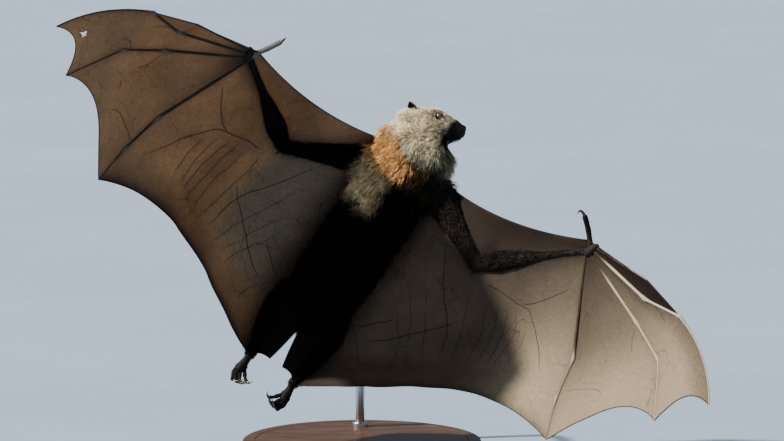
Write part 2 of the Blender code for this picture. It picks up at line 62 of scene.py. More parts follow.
# How the bat lies in the air: its own frame is +X its right, +Y its head end, +Z its back.
flight = {"tilt": 8, "lean": 34, "middle": (27.05, 103.3, 270), "upward": 51}
tilt, lean = math.radians(flight["tilt"]), math.radians(flight["lean"])
across, rise = Vector((1, 0, 0)), Vector((0, math.sin(tilt), math.cos(tilt)))
batRight = across * -math.cos(lean) + rise * math.sin(lean)
batAhead = across * math.sin(lean) + rise * math.cos(lean)
batPlace = Matrix((batRight, batAhead, batRight.cross(batAhead))).transposed().to_4x4()
batPlace.translation = (Vector(flight["middle"]) + rise * flight["upward"]) * mm
batInverse = batPlace.inverted()

# The head's own frame inside the bat's: +X its right, +Y the nose, +Z the crown.
headPose = {"at": (16.2, 58, 0), "forward": (-0.877, 0.470, 0), "up": (0.43, 0.80, 0.42)}
headForward = Vector(headPose["forward"]).normalized()
headRight = headForward.cross(Vector(headPose["up"])).normalized()
headPlace = batPlace @ Matrix.Translation(Vector(headPose["at"]) * mm)
headPlace = headPlace @ Matrix((headRight, headForward, headRight.cross(headForward))).transposed().to_4x4()
headInverse = headPlace.inverted()

# Bones: length, sweep ahead of straight out, droop below the back, as the solids have them.
shoulders = {"right": (32.6, -5.8, 0.0), "left": (-31.7, 5.1, 0.0)}
bones = {
    "right": {
        "humerus": (112, -24, 11), "forearm": (158, 36, 49), "thumb": (38, 122, 0),
        "meta2": (98, -3, 49), "meta3": (108, -16, 42.5), "first3": (72, 4, 64), "second3": (111, -43, 20),
        "meta4": (110, -31, 33.5), "first4": (62, -34, 46), "second4": (70, -59, 15.5),
        "meta5": (123, -68, 2.5), "first5": (50, -78, 13), "second5": (45, -84, 15),
    },
    "left": {
        "humerus": (112, -27, 29), "forearm": (158, 41, 37.5), "thumb": (38, 133, 0),
        "meta2": (98, 6, 46), "meta3": (108, -8.5, 43.5), "first3": (72, 7, 56), "second3": (111, -39, 28),
        "meta4": (110, -24, 32), "first4": (62, -27, 43), "second4": (70, -61, 21.5),
        "meta5": (123, -65, 10.5), "first5": (50, -80, 14.5), "second5": (45, -70, 10.5),
    },
}
hand = {"spread": 4.6, "bow": 9, "bowSweep": 53}  # gap between the fingers' roots; how far the third's tip bows
body = {
    "spineX": 4, "hip": (19, -162, 0), "knee": (40, -213, 30), "ankle": (29, -266, -6),
    "flank": [(38, -60, 0), (38, -120, 0)], "calcar": (8.5, -256, -4), "notch": (4, -205, 4),
}
sides = {"right": 1, "left": -1}


def mirrored(point, sign):
    return Vector((body["spineX"] + sign * point[0], point[1], point[2]))


def direction(side, sweep, droop):
    sweep, droop = math.radians(sweep), math.radians(droop)
    return Vector((
        sides[side] * math.cos(sweep) * math.cos(droop), math.sin(sweep) * math.cos(droop), -math.sin(droop)
    ))


def follow(side, start, *names):  # the joints along these bones
    points = [Vector(start)]
    for name in names:
        length, sweep, droop = bones[side][name]
        points.append(points[-1] + direction(side, sweep, droop) * length)
    return points


def wingBones(side):  # joints of the arm, joints of each finger, and how far a finger's last bone bows
    arm = follow(side, shoulders[side], "humerus", "forearm")
    fingers = {1: follow(side, arm[2], "thumb"), 2: follow(side, arm[2], "meta2")}
    for number in (3, 4, 5):
        fingers[number] = follow(side, arm[2], f"meta{number}", f"first{number}", f"second{number}")
    first, last = (direction(side, *bones[side][name][1:]) for name in ("meta2", "meta5"))
    for number in (2, 3, 4, 5):
        fingers[number][0] = arm[2] + (first - last).normalized() * (3.5 - number) * hand["spread"]
    lead, run = direction(side, hand["bowSweep"], 0), (fingers[3][3] - fingers[3][2]).normalized()
    bows = {number: Vector() for number in (1, 2, 4, 5)}
    bows[3] = (lead - run * lead.dot(run)).normalized() * hand["bow"]
    return arm, fingers, bows


skeleton = {side: wingBones(side) for side in sides}


def onFinger(points, bow, spot):  # spot 1 is the first joint, 2 the second
    k = min(int(spot), len(points) - 2)
    share = spot - k
    point = points[k].lerp(points[k + 1], share)
    return point + bow * (4 * share * (1 - share)) if k == len(points) - 2 else point


def along(points, share):
    steps = [(b - a).length for a, b in zip(points, points[1:])]
    left = share * sum(steps)
    for a, b, step in zip(points, points[1:], steps):
        if left <= step:
            return a.lerp(b, left / step)
        left -= step
    return points[-1].copy()


def smoothStep(value, low, high):
    t = np.clip((value - low) / (high - low), 0, 1)
    return t * t * (3 - 2 * t)


def bell(value, width):
    return np.exp(-(value / width) ** 2)


def into(points, matrix):  # scene metres into a frame, in millimetres
    turn = np.array(matrix, float)
    return (points @ turn[:3, :3].T + turn[:3, 3]) / mm


def outOf(points, matrix):  # a frame's millimetres into scene metres
    turn = np.array(matrix, float)
    return (points * mm) @ turn[:3, :3].T + turn[:3, 3]


def unitRows(vectors):
    return vectors / np.linalg.norm(vectors, axis=-1, keepdims=True)


def linked(name, mesh):
    piece = bpy.data.objects.new(name, mesh)
    bpy.context.collection.objects.link(piece)
    return piece


def makeMesh(name, points, faces, place=batPlace):
    mesh = bpy.data.meshes.new(name)
    mesh.from_pydata(outOf(np.asarray(points, float).reshape(-1, 3), place).tolist(), [], faces)
    mesh.update()
    return linked(name, mesh)


def only(*pieces):  # these are selected, and the first is active
    bpy.ops.object.select_all(action="DESELECT")
    for piece in pieces:
        piece.select_set(True)
    bpy.context.view_layer.objects.active = pieces[0]


def outward(piece):
    only(piece)
    bpy.ops.object.mode_set(mode="EDIT")
    bpy.ops.mesh.select_all(action="SELECT")
    bpy.ops.mesh.remove_doubles(threshold=2e-6)
    bpy.ops.mesh.normals_make_consistent(inside=False)
    bpy.ops.object.mode_set(mode="OBJECT")


def applyAll(piece):
    only(piece)
    for change in list(piece.modifiers):
        bpy.ops.object.modifier_apply(modifier=change.name)


def walled(piece, thick):
    wall = piece.modifiers.new("wall", "SOLIDIFY")
    wall.thickness, wall.offset = thick * mm, 0.0
    applyAll(piece)


def joined(pieces, name):
    only(*pieces)
    bpy.ops.object.join()
    pieces[0].name = pieces[0].data.name = name
    return pieces[0]


def settled(name):  # names a new primitive and puts its place into its mesh
    piece = bpy.context.object
    piece.name = piece.data.name = name
    bpy.ops.object.transform_apply(location=True, rotation=True, scale=True)
    return piece


def finished(piece, material, slotName, *replaced):
    piece.data.materials.clear()
    piece.data.materials.append(material)
    only(piece)
    bpy.ops.object.shade_smooth()
    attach(piece, "root")
    if replaced:
        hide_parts(*replaced)
    return piece


def setAttribute(piece, name, values):  # a number or a vector for each point, or one number for all
    values = np.asarray(values, np.float32)
    if not values.ndim:
        values = np.full(len(piece.data.vertices), values)
    kind, channel = ("FLOAT", "value") if values.ndim == 1 else ("FLOAT_VECTOR", "vector")
    made = piece.data.attributes.get(name) or piece.data.attributes.new(name, kind, "POINT")
    made.data.foreach_set(channel, values.ravel())


def built(name, shape, material, slotName, *replaced, place=batPlace, **attributes):
    piece = makeMesh(name, *shape, place=place)
    for attribute, values in attributes.items():
        setAttribute(piece, attribute, values)
    outward(piece)
    finished(piece, material, slotName, *replaced)


def perPoint(piece, field="co"):
    values = np.zeros(len(piece.data.vertices) * 3)
    piece.data.vertices.foreach_get(field, values)
    return values.reshape(-1, 3)


def setPoints(piece, points):
    piece.data.vertices.foreach_set("co", points.ravel())
    piece.data.update()


tubeCaps = ((0.33, 0.8), (0.51, 0.45))  # reach and width of the rings that round off an end


def tube(path, radii, count, flat=1.0, up=Vector((0, 0, 1))):
    rings, last = [], len(path) - 1
    for k, (centre, radius) in enumerate(zip(path, radii)):
        ahead = (path[min(k + 1, last)] - path[max(k - 1, 0)]).normalized()
        sideways = ahead.cross(up).normalized()
        lift = sideways.cross(ahead)
        rings.append((centre, sideways, lift, radius))
        if k in (0, last):
            sign = -1 if k == 0 else 1
            cap = [(centre + ahead * sign * radius * reach, sideways, lift, radius * size) for reach, size in tubeCaps]
            rings = cap[::-1] + rings if k == 0 else rings + cap
    turns = [2 * math.pi * n / count for n in range(count)]
    points = [
        centre + sideways * (math.cos(turn) * radius) + lift * (math.sin(turn) * radius * flat)
        for centre, sideways, lift, radius in rings for turn in turns
    ]
    faces = []
    for r in range(len(rings) - 1):
        for n in range(count):
            a, b = r * count + n, r * count + (n + 1) % count
            faces.append((a, b, b + count, a + count))
    return points, [*faces, tuple(range(count))[::-1], tuple(range((len(rings) - 1) * count, len(rings) * count))]


def perRing(values, count):  # a tube's values for each point from those for each ring of its path
    return [value for value in [values[0]] * 2 + values + [values[-1]] * 2 for _ in range(count)]


def gather(parts):  # several lists of points and faces as one
    points, faces = [], []
    for some, theirs in parts:
        base = len(points)
        points += list(some)
        faces += [tuple(i + base for i in face) for face in theirs]
    return points, faces


def quads(rows, columns):  # the faces of a grid of points
    corner = (np.arange(rows - 1)[:, None] * columns + np.arange(columns - 1)[None, :]).ravel()
    return np.stack([corner, corner + 1, corner + columns + 1, corner + columns], 1)


def shares(grid):  # how far across and along a grid each point lies
    rows, columns = grid.shape[:2]
    return np.linspace(0, 1, columns)[None, :].repeat(rows, 0), np.linspace(0, 1, rows)[:, None].repeat(columns, 1)


def plug(tree, socket, value):  # links another node's output, or sets a plain value
    if hasattr(value, "links"):
        tree.links.new(value, socket)
    else:
        socket.default_value = (*value, 1) if socket.type == "RGBA" else value


def node(tree, kind, **values):  # a node with its properties and inputs by name
    made = tree.nodes.new("ShaderNode" + kind)
    for name, value in values.items():
        if hasattr(made, name):
            setattr(made, name, value)
        else:
            plug(tree, made.inputs[name.replace("_", " ")], value)
    return made


def newMaterial(name, **plain):
    material = bpy.data.materials.new(name)
    material.use_nodes = True
    tree = material.node_tree
    tree.nodes.clear()
    shader = node(tree, "BsdfPrincipled", **plain)
    node(tree, "OutputMaterial", Surface=shader.outputs[0])
    return material, tree, shader


def paint(tree, shader, colour):
    plug(tree, shader.inputs["Base Color"], colour)


def maths(tree, operation, *values):
    made = node(tree, "Math", operation=operation)
    for socket, value in zip(made.inputs, values):
        plug(tree, socket, value)
    return made.outputs[0]


def ramp(tree, source, *stops):  # a stop's colour is one number for a grey
    made = node(tree, "ValToRGB")
    plug(tree, made.inputs[0], source)
    elements = made.color_ramp.elements
    while len(elements) < len(stops):
        elements.new(0.5)
    for element, (place, colour) in zip(elements, stops):
        element.position = place
        element.color = (*colour, 1) if isinstance(colour, tuple) else (colour, colour, colour, 1)
    return made.outputs[0]


def mixed(tree, factor, a, b, blend="MIX"):
    made = node(tree, "Mix", data_type="RGBA", blend_type=blend)
    for index, value in ((0, factor), (6, a), (7, b)):
        plug(tree, made.inputs[index], value)
    return made.outputs[2]


def times(tree, a, b):
    return mixed(tree, 1.0, a, b, "MULTIPLY")


def read(tree, name, output="Fac"):
    return node(tree, "Attribute", attribute_name=name).outputs[output]


def cloudy(tree, scale, detail=4, rough=0.55, stretch=(1, 1, 1)):
    mapping = node(tree, "Mapping", Vector=node(tree, "TexCoord").outputs["Object"], Scale=stretch)
    made = node(tree, "TexNoise", Vector=mapping.outputs[0], Scale=scale, Detail=detail, Roughness=rough)
    return made.outputs["Fac"]


def blotched(tree, colours, *noiseLook):  # two colours in cloudy spots
    return ramp(tree, cloudy(tree, *noiseLook), *zip((0.3, 0.7), colours))


def bump(tree, shader, height, strength, distance, **under):
    made = node(tree, "Bump", Height=height, Strength=strength, Distance=distance, **under)
    plug(tree, shader.inputs["Normal"], made.outputs[0])
    return made.outputs[0]


furColours = {
    # dark fur of the body and limbs, made near black as painted shade on the belly and arms
    "darkAndShaded": (0.0034, 0.0028, 0.0026), "darkAndShadedTip": (0.0080, 0.0062, 0.0050),
    "grey": (0.27, 0.240, 0.17), "greyTip": (0.98, 0.91, 0.68),
    "collar": (0.20, 0.072, 0.018), "collarTip": (0.95, 0.585, 0.235),
    "flank": (0.23, 0.160, 0.085), "flankTip": (0.95, 0.73, 0.41),
    # the muzzle's dark skin and fur, with painted shade over the lower jaw
    "muzzleDarkAndShade": (0.010, 0.009, 0.009), "muzzleDarkAndShadeTip": (0.026, 0.022, 0.020),
    "bare": (0.0062, 0.0050, 0.0046),
}


def markings(tree, tip):  # the coat's colours, alike on skin and tufts, from the share of each zone
    colour = None
    for zone in ("darkAndShaded", "grey", "collar", "flank", "muzzleDarkAndShade"):
        shade = mixed(tree, tip, furColours[zone], furColours[zone + "Tip"])
        colour = mixed(tree, read(tree, zone), colour, shade) if colour else shade
    return mixed(tree, read(tree, "bare"), colour, furColours["bare"])


def furMaterial():
    material, tree, shader = newMaterial("coatHair", Roughness=0.68, Specular_IOR_Level=0.05)
    colour = markings(tree, maths(tree, "POWER", read(tree, "tip"), 1.4))
    patchy = blotched(tree, (0.64, (1.28, 1.25, 1.20)), 90, 3)
    single = ramp(tree, read(tree, "shade"), (0.0, (0.42, 0.40, 0.37)), (1.0, (1.45, 1.42, 1.38)))
    paint(tree, shader, times(tree, times(tree, colour, patchy), single))
    return material


def fleshMaterial():
    material, tree, shader = newMaterial("fleshSkin", Specular_IOR_Level=0.15)
    fine = cloudy(tree, 900, 3)
    paint(tree, shader, mixed(tree, 0.35, markings(tree, maths(tree, "MULTIPLY", fine, 0.7)), (0.012, 0.009, 0.008)))
    plug(tree, shader.inputs["Roughness"], maths(tree, "MULTIPLY_ADD", read(tree, "wet"), -0.45, 0.75))
    first = bump(tree, shader, fine, 0.5, 0.0006)
    bump(tree, shader, cloudy(tree, 320, 2), 0.4, 0.0008, Normal=first)
    return material


membraneLook = {
    # the front colours are the sheet's own; the last colour here is painted sunlight on the outer sheets
    "front": ((0.055, 0.046, 0.038), (0.095, 0.080, 0.065)), "pale": (0.44, 0.37, 0.26),
    # inner and innerGlow: the colours of painted shade on the sheet, with its darker skin near the arm and body
    "inner": (0.016, 0.011, 0.009), "vein": (0.02, 0.014, 0.010),
    "glow": ((0.35, 0.250, 0.155), (0.50, 0.375, 0.245)), "innerGlow": (0.065, 0.034, 0.019),
    "veinGlow": (0.06, 0.03, 0.015), "fibre": 9.0, "through": 0.5,
}


def membraneMaterial():
    look = membraneLook
    material, tree, shader = newMaterial("wingMembrane", Roughness=0.68, Specular_IOR_Level=0.08)
    place = read(tree, "spanChord", "Vector")
    warp = node(tree, "TexNoise", Vector=place, Scale=2.2, Detail=3, Roughness=0.6)
    shifted = node(tree, "VectorMath", operation="MULTIPLY_ADD")
    for socket, value in zip(shifted.inputs, (warp.outputs["Color"], (0.5, 0.5, 0), place)):
        plug(tree, socket, value)

    def net(scale):
        return node(
            tree, "TexVoronoi", feature="DISTANCE_TO_EDGE", voronoi_dimensions="2D",
            Vector=shifted.outputs[0], Scale=scale,
        ).outputs["Distance"]

    def fibres(stretch):  # fine streaks one way over the sheet
        streak = node(tree, "Mapping", Vector=place, Scale=stretch)
        return node(tree, "TexNoise", Vector=streak.outputs[0], Scale=7, Detail=5, Roughness=0.65).outputs["Fac"]

    wide = ramp(tree, net(2.3), (0.0, 1), (0.008, 0.6), (0.02, 0))
    fine = ramp(tree, net(11.0), (0.0, 1), (0.07, 0))
    broken = ramp(tree, cloudy(tree, 16, 2), (0.42, 0), (0.62, 1))
    lines = maths(tree, "MULTIPLY", wide, maths(tree, "MULTIPLY", broken, 0.5))
    lines = maths(tree, "MAXIMUM", lines, maths(tree, "MULTIPLY", fine, 0.10))
    woven = maths(tree, "MULTIPLY", fibres((1.2, look["fibre"], 1)), 0.5)
    woven = maths(tree, "MULTIPLY_ADD", fibres((look["fibre"], 1.2, 1)), 0.5, woven)
    grain = ramp(tree, woven, (0.36, 0.78), (0.64, 1.2))
    cloud = cloudy(tree, 11, 5, 0.62)
    # painted sunlight mixed into the sheet's colour
    front = mixed(tree, read(tree, "pale"), ramp(tree, cloud, *zip((0.3, 0.7), look["front"])), look["pale"])
    # painted shade darkens the colour and the glow
    front = times(tree, mixed(tree, read(tree, "inner"), front, look["inner"]), grain)
    paint(tree, shader, mixed(tree, lines, front, look["vein"]))
    glow = mixed(tree, read(tree, "inner"), ramp(tree, cloud, *zip((0.3, 0.7), look["glow"])), look["innerGlow"])
    glow = mixed(tree, lines, times(tree, glow, grain), look["veinGlow"])
    relief = maths(tree, "MULTIPLY_ADD", fine, -0.3, maths(tree, "MULTIPLY", wide, 0.8))
    first = bump(tree, shader, relief, 0.4, 0.0004)
    second = bump(tree, shader, woven, 0.35, 0.0010, Normal=first)
    through = node(tree, "BsdfTranslucent", Color=glow, Normal=second)
    both = node(tree, "MixShader")
    for socket, value in zip(both.inputs, (look["through"], shader.outputs[0], through.outputs[0])):
        plug(tree, socket, value)
    plug(tree, tree.nodes["Material Output"].inputs[0], both.outputs[0])
    return material


def boneMaterial():
    material, tree, shader = newMaterial("fingerSkin", Roughness=0.62, Specular_IOR_Level=0.12)
    mottled = blotched(tree, ((0.014, 0.009, 0.006), (0.034, 0.022, 0.015)), 160)
    # painted sunlight on the bones, and paler knuckles with painted highlights
    mottled = mixed(tree, read(tree, "pale"), mottled, (0.42, 0.36, 0.28))
    paint(tree, shader, mixed(tree, read(tree, "joint"), mottled, (0.30, 0.25, 0.19)))
    bump(tree, shader, cloudy(tree, 700, 3, 0.6), 0.5, 0.0004)
    return material


def blackSkinMaterial():
    material, tree, shader = newMaterial("blackSkin", Roughness=0.62, Specular_IOR_Level=0.08)
    mottled = blotched(tree, ((0.0034, 0.0030, 0.0030), (0.0105, 0.0085, 0.0078)), 240)
    # rim: painted light on the ears' edges and on the right thumb
    paint(tree, shader, mixed(tree, read(tree, "rim"), mottled, (0.30, 0.29, 0.28)))
    place = node(tree, "TexCoord").outputs["Object"]
    creased = node(tree, "TexVoronoi", feature="DISTANCE_TO_EDGE", Vector=place, Scale=900)
    first = bump(tree, shader, creased.outputs["Distance"], 0.35, 0.0004)
    bump(tree, shader, cloudy(tree, 420, 3), 0.35, 0.0005, Normal=first)
    return material


def clawMaterial():
    material, tree, shader = newMaterial("hornClaw", Roughness=0.36, Coat_Weight=0.15, Coat_Roughness=0.15)
    streaked = blotched(tree, ((0.010, 0.008, 0.007), (0.045, 0.034, 0.026)), 260, 3, 0.5, (1, 1, 0.3))
    paint(tree, shader, streaked)
    bump(tree, shader, cloudy(tree, 900, 3, 0.5, (1, 1, 0.2)), 0.25, 0.0002)
    return material


def eyeMaterial():
    material, tree, shader = newMaterial("wetEye", Roughness=0.08, Coat_Weight=1.0, Coat_Roughness=0.03)
    iris = blotched(tree, ((0.028, 0.011, 0.005), (0.095, 0.040, 0.015)), 1400, 3)
    ring = read(tree, "gaze")
    colour = mixed(tree, ramp(tree, ring, (0.30, 0), (0.36, 1)), (0.002, 0.002, 0.002), iris)
    paint(tree, shader, mixed(tree, ramp(tree, ring, (0.72, 0), (0.80, 1)), colour, (0.010, 0.006, 0.005)))
    return material


def woodMaterial():
    material, tree, shader = newMaterial("darkWood", Roughness=0.42, Specular_IOR_Level=0.35)
    rings = maths(tree, "FRACT", maths(tree, "MULTIPLY", cloudy(tree, 16, 4, 0.55, (0.35, 2.6, 2.6)), 9.0))
    colour = ramp(
        tree, rings, (0.0, (0.045, 0.021, 0.011)), (0.7, (0.090, 0.044, 0.021)), (1.0, (0.050, 0.024, 0.012))
    )
    pores = cloudy(tree, 120, 5, 0.6, (0.10, 2.4, 2.4))
    paint(tree, shader, times(tree, colour, ramp(tree, pores, (0.35, 0.5), (0.6, 1.1))))
    bump(tree, shader, pores, 0.2, 0.0003)
    return material


def steelMaterial():
    material, tree, shader = newMaterial("brushedSteel", Metallic=1.0)
    brushed = cloudy(tree, 500, 4, 0.6, (1, 1, 0.04))
    paint(tree, shader, ramp(tree, brushed, (0.3, (0.30, 0.30, 0.31)), (0.7, (0.52, 0.52, 0.53))))
    plug(tree, shader.inputs["Roughness"], ramp(tree, brushed, (0.3, 0.24), (0.7, 0.38)))
    bump(tree, shader, brushed, 0.15, 0.0002)
    return material


coatHair, fleshSkin, wingMembrane = furMaterial(), fleshMaterial(), membraneMaterial()
fingerSkin, blackSkin, hornClaw = boneMaterial(), blackSkinMaterial(), clawMaterial()
wetEye, darkWood, brushedSteel = eyeMaterial(), woodMaterial(), steelMaterial()
print("materials made")

view = {"target": (0.01025, 0.1033, 0.270), "down": 8, "distance": 8.0, "lens": 328.0}
down = math.radians(view["down"])
bpy.ops.object.camera_add(
    location=Vector(view["target"]) + Vector((0, -math.cos(down), math.sin(down))) * view["distance"],
    rotation=(math.pi / 2 - down, 0, 0),
)
camera = bpy.context.object
camera.data.sensor_width, camera.data.lens, camera.data.clip_end = 36, view["lens"], 200
bpy.context.scene.camera = camera

studio = {"from": (-0.70, -0.15, 0.70), "strength": 10.5, "colour": (1.0, 0.90, 0.76), "soft": 3}
panels = {
    "fill": {"at": (1.2, -2.6, 0.7), "size": 2.6, "watts": 5, "colour": (0.86, 0.93, 1.0)},
    "left": {"at": (-2.2, -1.3, 0.9), "size": 1.8, "watts": 4.5, "colour": (1.0, 0.95, 0.88)},
}
room = {"sky": (0.60, 0.74, 0.92), "skyStrength": 0.34, "floor": ((0.235, 0.33, 0.47), (0.25, 0.35, 0.49))}


def lampAt(kind, name, at, turn, energy, colour):
    bpy.ops.object.light_add(type=kind, location=at, rotation=turn.to_euler())
    lamp = bpy.context.object
    lamp.name, lamp.data.energy, lamp.data.color = name + "Light", energy, colour
    return lamp.data


key = Vector(studio["from"]).to_track_quat("Z", "Y")
lampAt("SUN", "key", (-2, 0.4, 3), key, studio["strength"], studio["colour"]).angle = math.radians(studio["soft"])
for name, panel in panels.items():
    towards = (Vector(view["target"]) - Vector(panel["at"])).to_track_quat("-Z", "Y")
    lampAt("AREA", name, panel["at"], towards, panel["watts"], panel["colour"]).size = panel["size"]
sky = bpy.data.worlds.new("paleRoom")
sky.use_nodes = True
for socket, value in zip(sky.node_tree.nodes["Background"].inputs, (room["sky"], room["skyStrength"])):
    plug(sky.node_tree, socket, value)
bpy.context.scene.world = sky

bpy.ops.mesh.primitive_plane_add(size=60)
floor = bpy.context.object
floor.name = "floor"
floorPaint, floorTree, floorShader = newMaterial("floorPaint", Roughness=0.8)
paint(floorTree, floorShader, blotched(floorTree, room["floor"], 3, 3))
floor.data.materials.append(floorPaint)
floor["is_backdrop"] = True
print("camera and light set")

stand = {
    "segments": 128, "round": 3.0, "foot": 1.0, "rim": 14, "groove": 0.8, "rodRadius": 5.0, "enters": (0, -95, 20),
    "behind": 92, "bend": 34, "collar": 9.0, "collarHeight": 6, "collarRound": 2.4,
}


def cylinder(name, segments, radius, depth, at):
    bpy.ops.object.select_all(action="DESELECT")
    bpy.ops.mesh.primitive_cylinder_add(vertices=segments, radius=radius, depth=depth, location=at)
    return settled(name)


def reshaped(piece, work):  # hands the mesh to a function that edits it
    shape = bmesh.new()
    shape.from_mesh(piece.data)
    work(shape)
    shape.to_mesh(piece.data)
    shape.free()


def rounded(shape, wanted, offset, segments):
    edges = [edge for edge in shape.edges if wanted(edge)]
    bmesh.ops.bevel(shape, geom=edges, offset=offset * mm, segments=segments, affect="EDGES", profile=0.5)


def turnBase(shape):  # a groove near the rim of the top, and rounded edges
    top = [face for face in shape.faces if face.normal.z > 0.9]
    for wide, deep in ((stand["rim"], 0), (stand["groove"], -stand["groove"]), (stand["groove"], stand["groove"])):
        bmesh.ops.inset_region(shape, faces=top, thickness=wide * mm, depth=deep * mm)
    rounded(shape, lambda edge: all(
        abs(v.co.z - baseHeight) < 1e-6 and (v.co.xy - baseMiddle.xy).length > baseRadius - 1e-4 for v in edge.verts
    ), stand["round"], 5)
    rounded(
        shape, lambda edge: all(v.co.z < 1e-6 for v in edge.verts) and len(edge.link_faces) == 2, stand["foot"], 2
    )


def roundCollar(shape):
    top = baseHeight + (stand["collarHeight"] - 0.5) * mm
    rounded(shape, lambda edge: all(v.co.z > top for v in edge.verts), stand["collarRound"], 5)


lowBase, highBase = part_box("stand_base")
baseMiddle, baseHeight, baseRadius = (lowBase + highBase) / 2, highBase.z, (highBase.x - lowBase.x) / 2
baseAt = (baseMiddle.x, baseMiddle.y, baseHeight / 2)
base = cylinder("standBase", stand["segments"], baseRadius, baseHeight, baseAt)
reshaped(base, turnBase)
finished(base, darkWood, "wood", "stand_base")
base.data.set_sharp_from_angle(angle=math.radians(40))

rodLow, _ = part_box("stand_rod")
enters, inward = batPlace @ (Vector(stand["enters"]) * mm), batPlace.to_3x3() @ Vector((0, 0, -1))
rodBack = enters.y + stand["behind"] * mm
corner = enters - inward * ((rodBack - enters.y) / -inward.y)
bendLow = Vector((enters.x, rodBack, corner.z - stand["bend"] * mm))
bendHigh = corner + inward * stand["bend"] * mm
path = [Vector((enters.x, rodBack, rodLow.z)), Vector((enters.x, rodBack, 0.06)), bendLow]
path += [bendLow.lerp(corner, n / 16).lerp(corner.lerp(bendHigh, n / 16), n / 16) for n in range(1, 16)]
path = [point / mm for point in (*path, bendHigh, enters)]
rodTube = tube(path, [stand["rodRadius"]] * len(path), 28, up=Vector((1, 0, 0)))
built("standRod", rodTube, brushedSteel, "steel", "stand_rod", place=Matrix.Identity(4))

collarAt = (enters.x, rodBack, baseHeight + stand["collarHeight"] * mm / 2)
ferrule = cylinder("standFerrule", 64, stand["collar"] * mm, stand["collarHeight"] * mm, collarAt)
reshaped(ferrule, roundCollar)
finished(ferrule, brushedSteel, "steel")
ferrule.data.set_sharp_from_angle(angle=math.radians(35))
print("stand made")

# Wings. A sheet is a surface over u, across it, and v, towards its free edge.
wing = {
    "step": 2.45, "thick": 0.7, "tuck": 8, "rimRadius": 0.55, "ripple": 1.3, "folds": 0.9, "foldWidth": 9.5,
    "calm": 0.35, "ease": 12, "easeWide": 60, "tear": (0.35, 0.95), "tearReach": 3.1, "boneShade": 4.5,
    # painted sunlight on the outer sheets, mostly on the left wing, and painted light on the wide sheet near the body
    "pale": {"right": 0.15, "left": 0.95}, "paleFrom": (165, 250), "paintedLightNearBody": {"right": 0.25, "left": 0.04},
    # painted shade, deepening towards the body
    "shadeNearBody": {"right": (28, 75), "left": (15, 75)},
    "endShade": {"right": (0.88, 15), "left": (0.55, 12)},  # the dark band along the trailing edge
    "wristShade": {"right": 30, "left": 40}, "armShade": {"right": 11, "left": 22},
    # painted shade over whole panels, most on the left wing
    "shade": {
        "right": {"propatagium": 0.12, "uropatagium": 1.0, "membrane_1_2": 0.45, "membrane_2_3": 0.15},
        "left": {"propatagium": 0.8, "uropatagium": 1.0, "membrane_1_2": 1.0, "membrane_2_3": 1.0},
    },
}
sag = {"trailing": 35, "leading": 13, "tail": -2, "spur": 0.065, "thumb": 2, "third": 0.065, "fourth": 0.135}
camber = {"plagio": 16, "fingers": 5, "fore": 6, "second": 2}


def skewed(share, middle):  # even steps, bent so that the half way point falls at this share
    return share ** (math.log(0.5) / math.log(middle)) if share > 0 else 0.0


def sagging(start, end, towards, depth, middle=0.5):  # a free edge that hangs towards a point
    pull = (towards - start.lerp(end, 0.5)).normalized() * depth

    def edge(share):
        dip = skewed(share, middle)
        return start.lerp(end, share) + pull * 4 * dip * (1 - dip)

    return edge


def patch(front, rear, inner, outer, crown, lift):  # fills four edges
    def surface(u, v):
        ruled = front(u) * (1 - v) + rear(u) * v
        crossed = inner(v) * (1 - u) + outer(v) * u
        corners = (front(0) * (1 - u) + front(1) * u) * (1 - v) + (rear(0) * (1 - u) + rear(1) * u) * v
        return ruled + crossed - corners + lift * crown * math.sin(math.pi * u) * math.sin(math.pi * min(v, 0.9))

    return surface


def web(near, far, depth, middle, crown):  # between two fingers
    def surface(u, v):
        dip = skewed(u, middle)
        spot = 3 * (v - depth * 4 * dip * (1 - dip) * v ** 3)
        point = onFinger(*near, spot).lerp(onFinger(*far, spot), u)
        return point + crown * (4 * u * (1 - u) * math.sin(math.pi * min(v, 0.85)))

    return surface


def ribbon(near, far, crown=Vector()):  # between two edges
    def surface(u, v):
        return near(v).lerp(far(v), u) + crown * (4 * u * (1 - u) * math.sin(math.pi * v))

    return surface


def beside(points):
    return lambda share: along(points, share)


def legJoints(sign):
    return [mirrored(body[name], sign) for name in ("hip", "knee", "ankle")]


